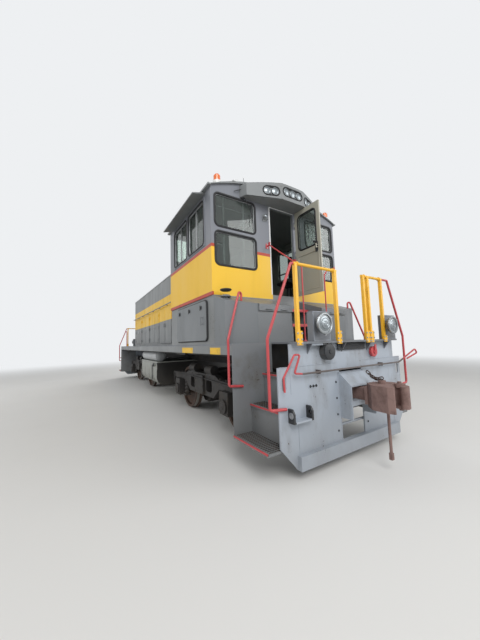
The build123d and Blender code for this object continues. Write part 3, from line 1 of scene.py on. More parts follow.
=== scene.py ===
"""Looks of an end-cab diesel switching locomotive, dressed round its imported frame.

The frame gives every rigid form. This script paints it, and adds gaskets, panes, lamps, fasteners, treads,
seats and fittings as meshes worked out with numpy. Sizes in the classes are mm, heights are above the wheel
flange bottoms, +X points to the cab end and -Y is the side in view.
"""

from __future__ import annotations

import json
import logging
import math
from collections.abc import Iterable, Sequence
from dataclasses import dataclass, field
from enum import Enum

import bpy
import numpy as np
from mathutils import Matrix, Vector

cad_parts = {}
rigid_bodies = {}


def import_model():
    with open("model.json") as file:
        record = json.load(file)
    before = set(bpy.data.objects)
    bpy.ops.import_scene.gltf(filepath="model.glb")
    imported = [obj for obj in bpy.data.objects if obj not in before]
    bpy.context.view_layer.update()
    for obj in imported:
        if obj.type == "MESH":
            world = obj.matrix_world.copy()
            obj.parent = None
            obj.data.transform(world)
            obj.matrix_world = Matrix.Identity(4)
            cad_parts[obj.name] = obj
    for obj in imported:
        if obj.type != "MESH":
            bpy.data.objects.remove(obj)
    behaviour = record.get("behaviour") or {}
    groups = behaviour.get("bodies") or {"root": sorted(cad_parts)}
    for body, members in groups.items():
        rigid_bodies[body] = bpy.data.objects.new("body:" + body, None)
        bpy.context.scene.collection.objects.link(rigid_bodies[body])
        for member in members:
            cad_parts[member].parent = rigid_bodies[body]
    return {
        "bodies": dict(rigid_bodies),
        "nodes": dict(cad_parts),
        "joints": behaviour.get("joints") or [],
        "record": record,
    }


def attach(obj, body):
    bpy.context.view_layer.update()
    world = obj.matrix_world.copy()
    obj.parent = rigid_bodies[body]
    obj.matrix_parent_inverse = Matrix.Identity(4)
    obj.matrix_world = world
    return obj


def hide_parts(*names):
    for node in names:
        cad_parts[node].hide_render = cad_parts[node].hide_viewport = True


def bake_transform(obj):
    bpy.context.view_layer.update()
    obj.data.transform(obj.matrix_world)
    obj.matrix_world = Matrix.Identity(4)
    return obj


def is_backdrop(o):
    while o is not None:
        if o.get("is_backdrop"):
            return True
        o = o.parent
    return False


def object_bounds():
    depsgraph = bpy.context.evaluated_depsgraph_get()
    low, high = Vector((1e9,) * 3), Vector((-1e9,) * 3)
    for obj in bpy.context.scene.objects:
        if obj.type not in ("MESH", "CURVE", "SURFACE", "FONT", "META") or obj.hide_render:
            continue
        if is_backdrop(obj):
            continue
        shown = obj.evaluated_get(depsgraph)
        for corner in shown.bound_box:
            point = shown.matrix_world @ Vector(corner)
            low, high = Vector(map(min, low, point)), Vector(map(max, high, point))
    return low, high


log = logging.getLogger("locomotive")

MM = 0.001  # metres
ENDS = (("cab", 1), ("nose", -1))  # name and sign of X
SIDES = (("right", -1), ("left", 1))  # name and sign of Y
BOTH = (-1, 1)
UP = (0, 0, 1)
DECK = 1611  # height of the deck's top, in mm
POLE = 0.4  # smallest radius of a turned profile, in mm, so that no ring shrinks to a point
SHARP = 38.0  # edges that turn by more degrees than this stay sharp

Array = np.ndarray
Colour = tuple[float, float, float, float]
Point = Sequence[float]
Socket = bpy.types.NodeSocket
Tree = bpy.types.NodeTree


# Colours and material nodes


def linear(colour: str) -> Colour:
    """Turn an sRGB hex colour into Blender's linear RGBA, fully opaque.

    Args:
        colour: six hex digits.

    Returns:
        The four linear channels.
    """
    parts = [int(colour[i : i + 2], 16) / 255 for i in (0, 2, 4)]
    bent = [c / 12.92 if c <= 0.04045 else ((c + 0.055) / 1.055) ** 2.4 for c in parts]
    return (*bent, 1.0)


def put(tree: Tree, kind: str, **inputs: object) -> bpy.types.NodeOutputs:
    """Add one node with its settings and its inputs.

    Args:
        tree: the node tree.
        kind: the node's bl_idname without "ShaderNode".
        inputs: a key in small letters sets that attribute of the node. Any other is an input's name, or in_N
            for input number N, and has a socket to link or a value to set.

    Returns:
        The new node's outputs.
    """
    node = tree.nodes.new(f"ShaderNode{kind}")
    for key, value in inputs.items():
        if key.islower() and not key.startswith("in_"):
            setattr(node, key, value)
            continue
        target = node.inputs[int(key[3:])] if key.startswith("in_") else node.inputs[key.replace("_", " ")]
        if isinstance(value, Socket):
            tree.links.new(value, target)
        else:
            target.default_value = value
    return node.outputs


@dataclass(frozen=True)
class Band:
    """One painted band of a livery, from its lower edge up to the next band.

    Attributes:
        low: height of its lower edge, in metres.
        colour: sRGB hex colour.
    """

    low: float
    colour: str


@dataclass(frozen=True)
class Zone:
    """A box in which the paint is another colour.

    Attributes:
        low: its lowest corner, in metres.
        high: its highest corner, in metres.
        colour: sRGB hex colour.
        mirrored: the box is repeated across X = 0 and Y = 0.
    """

    low: tuple[float, float, float]
    high: tuple[float, float, float]
    colour: str
    mirrored: bool = False


@dataclass(frozen=True)
class Finish:
    """A real material and how its surface was made.

    Attributes:
        name: what it is called, for its real material.
        colour: sRGB hex colour, or the lowest band's.
        slot: the record's material slot; not used.
        bands: painted bands above, from low to high.
        zones: boxes painted in other colours.
        metallic: 1 for bare metal.
        roughness: microfacet roughness.
        wear: share of the surface that dust or stains change.
        dust: sRGB hex colour of the dust, rust or stains.
        low_dust: height in metres up to which road dust gathers, 0 for none.
        chips: how much of the paint is chipped to dark primer, 0 for none.
        primer: sRGB hex colour of that primer.
        chip_mm: size of the chips in mm.
        grain_mm: size of the finest grain in mm.
        patch_mm: size of the dust patches in mm.
        bump_mm: depth of the grain in mm.
        waves_mm: spacing of the shallow waves that thin sheet steel shows, 0 for none.
        streak: how much the patches are drawn out downwards.
        tread_mm: spacing of raised tread bars, 0 for none.
        clear: share of light that passes, for glass.
        gloss: weight of a clear coat.
    """

    name: str
    colour: str
    slot: str
    bands: tuple[Band, ...] = ()
    zones: tuple[Zone, ...] = ()
    metallic: float = 0.0
    roughness: float = 0.42
    wear: float = 0.25
    dust: str = "6a6358"
    low_dust: float = 0.0
    chips: float = 0.0
    primer: str = "4b4038"
    chip_mm: float = 22.0
    grain_mm: float = 6.0
    patch_mm: float = 450.0
    bump_mm: float = 0.4
    waves_mm: float = 0.0
    streak: float = 1.0
    tread_mm: float = 0.0
    clear: float = 0.0
    gloss: float = 0.0

    def build(self) -> bpy.types.Material:
        """Make the material's nodes.

        Returns:
            The material.
        """
        material = bpy.data.materials.new(self.name)
        material.use_nodes = True
        tree = material.node_tree
        tree.nodes.clear()
        place = put(tree, "TexCoord")["Object"]
        stretch = put(tree, "Mapping", Vector=place, Scale=(1, 1, 1 / self.streak))[0]
        patches = put(tree, "TexNoise", Vector=stretch, Scale=1 / (self.patch_mm * MM), Detail=6.0,
                      Roughness=0.62)["Fac"]
        colour = self._dirt(tree, place, patches, self._zones(tree, place, self._bands(tree, place)))
        rough = self.roughness
        if not self.clear and self.metallic < 1:
            rough = put(tree, "MapRange", Value=patches, From_Min=0.3, From_Max=0.75,
                        To_Min=max(self.roughness - 0.08, 0.02), To_Max=min(self.roughness + 0.18, 1.0))[0]
        shader = put(tree, "BsdfPrincipled", Base_Color=colour, Metallic=self.metallic, Roughness=rough,
                     Normal=self._relief(tree, place), Transmission_Weight=self.clear, Coat_Weight=self.gloss)
        put(tree, "OutputMaterial", Surface=shader[0])
        return material

    def _bands(self, tree: Tree, place: Socket) -> Socket:
        """Colour of the paint at each height: the last band whose lower edge is below the point.

        Args:
            tree: the material's node tree.
            place: the point.

        Returns:
            The colour.
        """
        height = put(tree, "SeparateXYZ", Vector=place)["Z"]
        colour = put(tree, "RGB")[0]
        colour.default_value = linear(self.colour)
        for band in self.bands:
            above = put(tree, "Math", operation="GREATER_THAN", in_0=height, in_1=band.low)[0]
            colour = put(tree, "Mix", data_type="RGBA", in_0=above, in_6=colour, in_7=linear(band.colour))[2]
        return colour

    def _zones(self, tree: Tree, place: Socket, colour: Socket) -> Socket:
        """Repaint each zone: inside its box the greatest of |point - middle| / half size is under 1.

        Args:
            tree: the material's node tree.
            place: the point.
            colour: the colour outside the zones.

        Returns:
            The colour.
        """
        for zone in self.zones:
            low, high = Vector(zone.low), Vector(zone.high)
            start = put(tree, "VectorMath", operation="ABSOLUTE", in_0=place)[0] if zone.mirrored else place
            off = put(tree, "VectorMath", operation="SUBTRACT", in_0=start, in_1=(low + high) / 2)[0]
            size = put(tree, "VectorMath", operation="ABSOLUTE", in_0=off)[0]
            share = put(tree, "VectorMath", operation="DIVIDE", in_0=size, in_1=(high - low) / 2)[0]
            axes = put(tree, "SeparateXYZ", Vector=share)
            most = put(tree, "Math", operation="MAXIMUM", in_0=axes[0], in_1=axes[1])[0]
            most = put(tree, "Math", operation="MAXIMUM", in_0=most, in_1=axes[2])[0]
            inside = put(tree, "Math", operation="LESS_THAN", in_0=most, in_1=1.0)[0]
            colour = put(tree, "Mix", data_type="RGBA", in_0=inside, in_6=colour, in_7=linear(zone.colour))[2]
        return colour

    def _dirt(self, tree: Tree, place: Socket, patches: Socket, colour: Socket) -> Socket:
        """Add dusty patches, road dust that thins out upwards, and chips down to the primer.

        Args:
            tree: the material's node tree.
            place: the point.
            patches: noise of the size of the patches.
            colour: the clean paint.

        Returns:
            The colour.
        """
        low, high = 0.62 - 0.3 * self.wear, 0.80 - 0.2 * self.wear
        mask = put(tree, "MapRange", Value=patches, From_Min=low, From_Max=high, To_Max=self.wear)[0]
        if self.low_dust:
            height = put(tree, "SeparateXYZ", Vector=place)["Z"]
            near = put(tree, "MapRange", Value=height, From_Max=self.low_dust, To_Min=0.75, To_Max=0.0)[0]
            lying = put(tree, "Math", operation="MULTIPLY", in_0=near, in_1=patches)[0]
            mask = put(tree, "Math", operation="MAXIMUM", in_0=mask, in_1=lying)[0]
        colour = put(tree, "Mix", data_type="RGBA", in_0=mask, in_6=colour, in_7=linear(self.dust))[2]
        if self.chips:
            spots = put(tree, "TexNoise", Vector=place, Scale=1 / (self.chip_mm * MM), Detail=4.0)["Fac"]
            both = put(tree, "Math", operation="MULTIPLY", in_0=spots, in_1=patches)[0]
            edge = 0.46 - 0.08 * self.chips
            hit = put(tree, "MapRange", Value=both, From_Min=edge, From_Max=edge + 0.015)[0]
            colour = put(tree, "Mix", data_type="RGBA", in_0=hit, in_6=colour, in_7=linear(self.primer))[2]
        return colour

    def _relief(self, tree: Tree, place: Socket) -> Socket:
        """Fine grain, with the shallow waves of thin sheet and the bars of tread plate over it.

        Args:
            tree: the material's node tree.
            place: the point.

        Returns:
            The normal.
        """
        grain = put(tree, "TexNoise", Vector=place, Scale=1 / (self.grain_mm * MM), Detail=3.0)["Fac"]
        normal = put(tree, "Bump", Strength=0.6, Distance=self.bump_mm * MM, Height=grain)[0]
        if self.waves_mm:
            waves = put(tree, "TexNoise", Vector=place, Scale=1 / (self.waves_mm * MM), Detail=1.0)["Fac"]
            normal = put(tree, "Bump", Strength=0.35, Distance=20 * MM, Height=waves, Normal=normal)[0]
        if self.tread_mm:
            bars = self._tread(tree, place)
            normal = put(tree, "Bump", Strength=0.8, Distance=2 * MM, Height=bars, Normal=normal)[0]
        return normal

    def _tread(self, tree: Tree, place: Socket) -> Socket:
        """Raised bars of tread plate: crossed sine ridges, the sine of x + y times that of x - y.

        Args:
            tree: the material's node tree.
            place: the point.

        Returns:
            The height, 0 to 1.
        """
        turned = put(tree, "Mapping", Vector=place, Rotation=(0, 0, math.pi / 4))[0]
        step = math.tau / (self.tread_mm * MM)
        waves = []
        for axis in put(tree, "SeparateXYZ", Vector=turned)[:2]:
            angle = put(tree, "Math", operation="MULTIPLY", in_0=axis, in_1=step)[0]
            waves.append(put(tree, "Math", operation="SINE", in_0=angle)[0])
        crossed = put(tree, "Math", operation="MULTIPLY", in_0=waves[0], in_1=waves[1])[0]
        return put(tree, "MapRange", Value=crossed, From_Min=0.25, From_Max=0.6)[0]


BODY_HEX, PILOT_HEX, YELLOW_HEX, RED_HEX, CAB_HEX = "7c7f80", "a3abb5", "eabb2c", "ae3c29", "8a8f89"


class Coat(Enum):
    """Every finish on the locomotive."""

    # Alkyd enamel brushed on sheet steel: slight waves, vertical rain streaks, dust low down
    GREY = Finish("grey enamel on sheet steel", BODY_HEX, "body_grey", streak=3.0, wear=0.2, low_dust=1.6,
                  chips=0.2, waves_mm=500)
    BOX = Finish("grey enamel on box steel", "73777a", "body_grey", streak=3.0, wear=0.2, chips=0.3,
                 waves_mm=450)
    PILOT = Finish("pale grey enamel on heavy plate", PILOT_HEX, "body_grey", streak=2.5, wear=0.45,
                   low_dust=0.9, chips=0.5, patch_mm=320, dust="6b665e",
                   zones=(Zone((6.288, 0.88, 0.684), (6.5, 0.925, 0.87), "26282b", True),
                          Zone((6.288, 1.17, 0.684), (6.5, 1.215, 0.87), "26282b", True),
                          Zone((6.288, -0.64, 1.35), (6.5, -0.4, 1.6), "3f4245")))
    # Walked on: paint worn through and dust between the raised bars
    DECK = Finish("grey enamel on raised tread plate", "6e7278", "body_grey", wear=0.45, chips=0.8,
                  tread_mm=34)
    STEPS = Finish("grey enamel on step plate", "7a7d80", "body_grey", wear=0.45, low_dust=1.0, chips=0.7,
                   dust="57503f")
    # Sprayed livery: even bands with crisp edges over the sheet's slight waves
    CAB = Finish("banded enamel on cab sheet steel", RED_HEX, "body_yellow", streak=3.0, wear=0.12,
                 waves_mm=520, bands=(Band(2.443, YELLOW_HEX), Band(3.170, RED_HEX), Band(3.225, "777a81")),
                 zones=(Zone((4.98, -1.48, 2.3), (5.1, 1.48, 2.45), YELLOW_HEX),
                        Zone((2.90, -1.47, 2.0), (4.96, 1.47, 4.6), CAB_HEX)))
    HOOD = Finish("banded enamel on hood sheet steel", BODY_HEX, "body_yellow", streak=4.0, wear=0.25,
                  waves_mm=480, bands=(Band(2.398, YELLOW_HEX), Band(3.180, BODY_HEX)))
    # Brushed on bars and marks, chipped where hands and boots touch
    YELLOW = Finish("yellow enamel on steel bar", "e9b128", "frame_yellow", wear=0.2, patch_mm=90, chips=0.5)
    SILL_MARK = Finish("yellow clearance paint", YELLOW_HEX, "body_yellow", wear=0.3, patch_mm=120, chips=0.6)
    RED = Finish("red enamel on steel bar", "b9464a", "rail_red", wear=0.14, patch_mm=120, roughness=0.35,
                 chips=0.3)
    LEVER = Finish("red enamel and bare steel rod", "b9464a", "rail_red", wear=0.2, patch_mm=120,
                   zones=(Zone((-7.0, -1.01, 1.0), (7.0, 1.25, 1.6), "5b5350"),))
    DOOR = Finish("grey enamel on a steel door", "a5a396", "body_grey", streak=3.0, wear=0.15, waves_mm=500)
    # Cast steel under black enamel, with brake dust and oil on it
    TRUCK = Finish("black enamel on cast steel", "1f1f21", "truck_black", wear=0.5, dust="51483d",
                   roughness=0.6, low_dust=1.3, grain_mm=9, bump_mm=1.2, patch_mm=260)
    # Rolled steel: brown where it rusts, bright where it runs on the rail
    WHEEL = Finish("rolled steel with brown rust", "4b3a30", "wheel_steel", metallic=0.3, wear=0.4,
                   dust="6b4a34", roughness=0.6, patch_mm=160)
    TREAD = Finish("polished wheel tread", "a5a19b", "wheel_steel", metallic=1.0, wear=0.1, roughness=0.3)
    # Sand cast steel, bare: a coarse skin, matt, with dark and light rust
    RUST = Finish("rusty cast steel", "846b65", "coupler_rust", wear=0.5, dust="46342d", roughness=0.85,
                  grain_mm=14, bump_mm=2.5, patch_mm=90)
    # Small steel: dull plating that spots, or paint that dirt settles on
    ZINC = Finish("zinc plated fasteners", "a9abad", "lamp_chrome", metallic=0.85, wear=0.3, roughness=0.4,
                  patch_mm=40)
    BOLT = Finish("enamelled bolt heads", "8f959e", "body_grey", wear=0.45, patch_mm=40)
    BLACK_BOLT = Finish("oily bolt heads", "37332f", "truck_black", wear=0.5, patch_mm=40, roughness=0.5)
    GRATE = Finish("worn grating steel", "4d4a46", "truck_black", metallic=0.4, wear=0.6, dust="5f4a3a",
                   roughness=0.55, patch_mm=80)
    CHAIN = Finish("rusty chain steel", "4a3a33", "coupler_rust", wear=0.5, dust="2e241f", roughness=0.7,
                   patch_mm=30)
    # Moulded EPDM: matt, near black, greying where it is weathered
    RUBBER = Finish("moulded EPDM rubber", "17181a", "truck_black", wear=0.3, dust="3a3b3c", roughness=0.62,
                    grain_mm=3, patch_mm=60, bump_mm=0.2)
    IRON = Finish("dark enamel on iron fittings", "2c2e31", "truck_black", wear=0.3, patch_mm=70,
                  roughness=0.5)
    # Inside the cab: matt enamel, glossy dials and soft black vinyl
    INSIDE = Finish("grey vinyl enamel", CAB_HEX, "cab_inside", wear=0.12, roughness=0.6)
    DIAL = Finish("white enamel dial", "e6e4dc", "cab_inside", wear=0.05, roughness=0.3, gloss=0.6)
    SEAT = Finish("black vinyl on foam", "232426", "seat_cover", wear=0.12, dust="3b3a38", roughness=0.5,
                  grain_mm=4, bump_mm=0.5)
    ENGINE = Finish("grey engine enamel with oil", "53565a", "engine_paint", wear=0.4, dust="2c2722",
                    roughness=0.4)
    # Laminated glass: clear and smooth, faintly green, with a thin film of dust
    GLASS = Finish("dusty laminated glass", "aab5b0", "cab_glass", wear=0.1, dust="a3a8a3", roughness=0.0,
                   clear=0.93, patch_mm=500, bump_mm=0.0)
    # Satin metal of sashes and lamps: soft reflections, no sparkle
    ALUMINIUM = Finish("anodised aluminium sash", "8e9091", "lamp_chrome", metallic=0.9, wear=0.2,
                       roughness=0.38)
    CHROME = Finish("dull plated steel bezel", "8f9395", "lamp_chrome", metallic=0.8, wear=0.15,
                    roughness=0.36)
    LENS = Finish("pressed lamp glass over a silvered bowl", "8b9194", "lamp_chrome", metallic=1.0, wear=0.05,
                  roughness=0.3, bump_mm=0.0)
    LAMP_SHELL = Finish("spun steel lamp bowl in grey enamel", "62666b", "lamp_chrome", wear=0.15,
                        roughness=0.28, gloss=0.4)
    # Moulded plastic, glossy, amber over a white base
    BEACON = Finish("moulded polycarbonate on a white base", "e3e3df", "beacon_amber",
                    bands=(Band(4.343, "e06a1c"),), wear=0.12, roughness=0.22, gloss=0.7)
    # Older enamel on vents and tanks: chalky, streaked by rain
    ROOF_WHITE = Finish("white enamel on roof vents", "d9dbdb", "body_grey", wear=0.2, streak=2.0,
                        patch_mm=150)
    TANK = Finish("grey enamel on tank steel", "979a94", "body_grey", wear=0.35, streak=2.0, low_dust=1.4,
                  chips=0.4, waves_mm=520,
                  # The two zones paint the tank's end faces near black: painted shade on the faces turned
                  # from the light.
                  zones=(Zone((0.845, -1.4, 0.3), (0.95, 1.4, 1.1), "1f2022"),
                         Zone((-1.4, -1.4, 0.3), (-1.275, 1.4, 1.1), "1f2022")))
    AIR = Finish("pale enamel on air tanks", "b3b6b8", "body_grey", wear=0.3, streak=2.0, dust="6a6256")


NODE_COAT = {
    "cab_walls": Coat.CAB, "hood_body": Coat.HOOD, "hood_door": Coat.HOOD, "control_stand": Coat.INSIDE,
    "cab_seats": Coat.SEAT, "engine_block": Coat.ENGINE, "radiator": Coat.ENGINE,
    "end_frames": Coat.YELLOW, "stair_rails": Coat.RED, "fuel_tank": Coat.TANK,
    "air_reservoirs": Coat.AIR, "uncoupling_levers": Coat.LEVER, "end_lamps": Coat.LAMP_SHELL,
    "truck_frame": Coat.TRUCK, "traction_motors": Coat.TRUCK, "wheelset": Coat.WHEEL,
    "coupler": Coat.RUST, "cab_glass": Coat.GLASS, "beacons": Coat.BEACON,
    "cab_roof_fittings": Coat.ROOF_WHITE, "end_plate": Coat.PILOT, "deck": Coat.DECK, "steps": Coat.STEPS,
    "battery": Coat.BOX, "cab_end_door": Coat.DOOR, "centre_sill": Coat.TRUCK, "sill_webs": Coat.TRUCK,
    "cross_members": Coat.TRUCK, "access_door": Coat.BOX,
}


def coat_of(node: str) -> Coat:
    """Coat of a frame node: that of the longest key that its name starts with, or plain grey."""
    keys = [key for key in NODE_COAT if node.startswith(key)]
    return NODE_COAT[max(keys, key=len)] if keys else Coat.GREY


# Surfaces as arrays of points, in mm


@dataclass
class Shell:
    """A surface.

    Attributes:
        points: (n, 3) points in mm.
        quads: (q, 4) point numbers.
        tris: (t, 3) point numbers.
    """

    points: Array
    quads: Array
    tris: Array

    def placed(self, origin: Point, axes: Array) -> Shell:
        """Turn local (a, b, c) points into origin + a * axes[0] + b * axes[1] + c * axes[2]."""
        return Shell(self.points @ np.asarray(axes, float) + np.asarray(origin, float), self.quads, self.tris)

    def volume(self) -> float:
        """Signed volume: a sixth of the sum of a . (b x c) over the triangles.

        Returns:
            The volume, negative where the faces point inwards.
        """
        tris = np.concatenate((self.quads[:, [0, 1, 2]], self.quads[:, [0, 2, 3]], self.tris))
        a, b, c = (self.points[tris[:, i]] for i in range(3))
        return float(np.einsum("ij,ij->", a, np.cross(b, c)) / 6)

    def outward(self) -> Shell:
        """Turn the faces of a closed surface outwards."""
        return Shell(self.points, self.quads[:, ::-1], self.tris[:, ::-1]) if self.volume() < 0 else self


def join(shells: Iterable[Shell]) -> Shell:
    """Put several closed surfaces into one, each turned outwards.

    Args:
        shells: the surfaces.

    Returns:
        One shell with all their points and faces.
    """
    points, quads, tris, start = [], [], [], 0
    for shell in shells:
        shell = shell.outward()
        points.append(shell.points)
        quads.append(shell.quads + start)
        tris.append(shell.tris + start)
        start += len(shell.points)
    return Shell(np.concatenate(points), np.concatenate(quads), np.concatenate(tris))


def skin(rings: Array, loop: bool = False) -> Shell:
    """Quads between neighbouring rings of an (m, n, 3) array, closed round each ring.

    Args:
        rings: m closed rings of n points.
        loop: join the last ring to the first; otherwise both ends get a fan of triangles to their middle.

    Returns:
        The closed surface.
    """
    rings = np.asarray(rings, float)
    m, n, _ = rings.shape
    index = np.arange(m * n).reshape(m, n)
    beside = np.roll(index, -1, axis=1)
    last = m if loop else m - 1
    above, corner = np.roll(index, -1, axis=0)[:last], np.roll(beside, -1, axis=0)[:last]
    quads = np.stack((index[:last], beside[:last], corner, above), axis=-1).reshape(-1, 4)
    points = rings.reshape(-1, 3)
    tris = np.zeros((0, 3), int)
    if not loop:
        points = np.concatenate((points, rings[[0, -1]].mean(axis=1)))
        first = np.stack((beside[0], index[0], np.full(n, m * n)), axis=-1)
        final = np.stack((index[-1], beside[-1], np.full(n, m * n + 1)), axis=-1)
        tris = np.concatenate((first, final))
    return Shell(points, quads, tris)


def circle(n: int, radius: float = 1.0) -> Array:
    """Points of a circle: (r cos t, r sin t)."""
    turn = np.arange(n) * math.tau / n
    return radius * np.stack((np.cos(turn), np.sin(turn)), axis=-1)


def raised(outline: Array, height: float) -> Array:
    """The (n, 3) ring of an (n, 2) outline at one height."""
    return np.column_stack((outline, np.full(len(outline), height)))


def rounded(width: float, height: float, radius: float, steps: int = 5) -> Array:
    """Outline of a rounded rectangle: quarter circles of the radius about four corner centres.

    Args:
        width: full size across.
        height: full size up.
        radius: corner radius, kept under half of both.
        steps: points per corner.

    Returns:
        The (4 * steps, 2) outline, counter-clockwise.
    """
    radius = min(radius, width / 2 - 0.01, height / 2 - 0.01)
    quarter = np.linspace(0, math.pi / 2, steps)
    parts = []
    for i, (sx, sy) in enumerate(((1, 1), (-1, 1), (-1, -1), (1, -1))):
        turn = quarter + i * math.pi / 2
        parts.append(np.stack((sx * (width / 2 - radius) + radius * np.cos(turn),
                               sy * (height / 2 - radius) + radius * np.sin(turn)), axis=-1))
    return np.concatenate(parts)


def swept(path: Array, profile: Array, up: Point, loop: bool = False) -> Shell:
    """Carry a profile along a path: path + a * side + b * lift, where side is across the path and up.

    Args:
        path: (m, 3) points.
        profile: (n, 2) closed outline of a and b.
        up: direction that lift keeps near.
        loop: the path closes on itself.

    Returns:
        The closed surface.
    """
    path, up = np.asarray(path, float), np.asarray(up, float)
    if loop:
        along = np.roll(path, -1, axis=0) - np.roll(path, 1, axis=0)
    else:
        along = np.gradient(path, axis=0)
    along /= np.linalg.norm(along, axis=1, keepdims=True)
    side = np.cross(along, up)
    side /= np.linalg.norm(side, axis=1, keepdims=True)
    lift = np.cross(side, along)
    rings = path[:, None] + profile[None, :, :1] * side[:, None] + profile[None, :, 1:] * lift[:, None]
    return skin(rings, loop)


def bent(points: Sequence[Point], radius: float, steps: int = 5) -> Array:
    """Round a polyline's corners: at each, a quadratic curve from radius before it to radius after it.

    Args:
        points: the polyline.
        radius: how far from a corner its curve starts, kept under half of both runs.
        steps: points per corner.

    Returns:
        The (m, 3) points of the rounded line.
    """
    points = np.asarray(points, float)
    out = [points[:1]]
    t = np.linspace(0, 1, steps)[:, None]
    for before, corner, after in zip(points[:-2], points[1:-1], points[2:]):
        start, end = before - corner, after - corner
        reach = min(radius, np.linalg.norm(start) / 2.01, np.linalg.norm(end) / 2.01)
        a = corner + start / np.linalg.norm(start) * reach
        b = corner + end / np.linalg.norm(end) * reach
        out.append((1 - t) ** 2 * a + 2 * t * (1 - t) * corner + t**2 * b)
    return np.concatenate(out + [points[-1:]])


def pipe(points: Sequence[Point], radius: float, bend: float = 60.0, sides: int = 10) -> Shell:
    """Round bar along a polyline with rounded corners: a circle carried along the line of bent.

    Args:
        points: the polyline.
        radius: the bar's radius.
        bend: how far from a corner its curve starts.
        sides: points round the bar.

    Returns:
        The closed surface.
    """
    path = bent(points, bend)
    reach = np.abs(path[-1] - path[0])
    up = np.eye(3)[int(np.argmin(reach))] + 0.013
    return swept(path, circle(sides, radius), up)


def axes_for(normal: Point, across: Point = UP) -> Array:
    """Three axes, square to each other and of length one.

    The third is the normal, the second the given direction less its part along the normal, and the first
    their cross product.

    Args:
        normal: direction of the third axis.
        across: direction that the second is near.

    Returns:
        The axes as the rows of a (3, 3) array.
    """
    n = np.asarray(normal, float) / np.linalg.norm(normal)
    v = np.asarray(across, float)
    v = v - n * (v @ n)
    if np.linalg.norm(v) < 1e-6:
        v = np.roll(n, 1) - n * (np.roll(n, 1) @ n)
    v /= np.linalg.norm(v)
    return np.stack((np.cross(v, n), v, n))


def ring(origin: Point, normal: Point, width: float, height: float, radius: float, half: float, proud: float,
         steps: int = 6) -> Shell:
    """Gasket: an oval half wide each way and proud high, carried round a rounded rectangle on a plane.

    Args:
        origin: middle of the rectangle.
        normal: direction out of the plane.
        width: the rectangle's width, at the oval's middle.
        height: its height.
        radius: its corner radius.
        half: half width of the oval.
        proud: half height of the oval.
        steps: points per corner.

    Returns:
        The closed surface.
    """
    made = swept(raised(rounded(width, height, radius, steps), 0), circle(10) * (half, proud), UP, loop=True)
    return made.placed(origin, axes_for(normal))


def plate(origin: Point, normal: Point, outline: Array, thick: float, edge: float = 1.5) -> Shell:
    """Flat plate on a plane, its front edge bevelled: the outline at 0 and thick - edge, then drawn in.

    Args:
        origin: place of the outline's zero.
        normal: direction out of the plane.
        outline: (n, 2) outline.
        thick: the plate's thickness.
        edge: width of the bevel.

    Returns:
        The closed surface.
    """
    middle = outline.mean(axis=0)
    reach = np.linalg.norm(outline - middle, axis=1, keepdims=True)
    inner = middle + (outline - middle) * (1 - edge / reach)
    rings = np.stack((raised(outline, 0), raised(outline, thick - edge), raised(inner, thick)))
    return skin(rings).placed(origin, axes_for(normal))


def block(low: Point, high: Point, edge: float = 2.0) -> Shell:
    """Box with its upper and lower edges bevelled: its outline drawn in by edge at the bottom and at the top.

    Args:
        low: one corner.
        high: the opposite corner.
        edge: width of the bevel.

    Returns:
        The closed surface.
    """
    low, high = np.minimum(low, high).astype(float), np.maximum(low, high).astype(float)
    size, middle = high - low, (low + high) / 2
    rings = [raised(rounded(size[0] - 2 * inset, size[1] - 2 * inset, edge, 2), z)
             for z, inset in ((0, edge), (edge, 0), (size[2] - edge, 0), (size[2], edge))]
    return skin(np.stack(rings)).placed((middle[0], middle[1], low[2]), np.eye(3))


def spun(profile: Sequence[tuple[float, float]], base: Point, axis: Point, sides: int = 32) -> Shell:
    """Turn a profile of (radius, height) about an axis: (r cos t, r sin t, h).

    Args:
        profile: radius and height of each ring, from the base up.
        base: place of height 0.
        axis: direction of the heights.
        sides: points round a ring.

    Returns:
        The closed surface.
    """
    turn = circle(sides)
    rings = np.stack([raised(turn * max(radius, POLE), height) for radius, height in profile])
    return skin(rings).placed(base, axes_for(axis))


def bolts(places: Sequence[Point], normal: Point, across: float = 24.0, height: float = 12.0) -> Shell:
    """Hexagon heads on washers, one template repeated at every place.

    Args:
        places: middles of the washers, on the face that carries them.
        normal: direction out of that face.
        across: the head's size over its corners.
        height: its height.

    Returns:
        All heads and washers in one.
    """
    hexagon, round_ = circle(6, across / 2), circle(12, across * 0.72)
    washer = skin(np.stack([raised(round_, z) for z in (-1.0, 2.5)]))
    tops = ((1.0, 2.5), (1.0, height - 2), (0.86, height))
    head = skin(np.stack([raised(hexagon * s, z) for s, z in tops]))
    template = join((washer, head))
    axes = axes_for(normal)
    return join(template.placed(place, axes) for place in places)


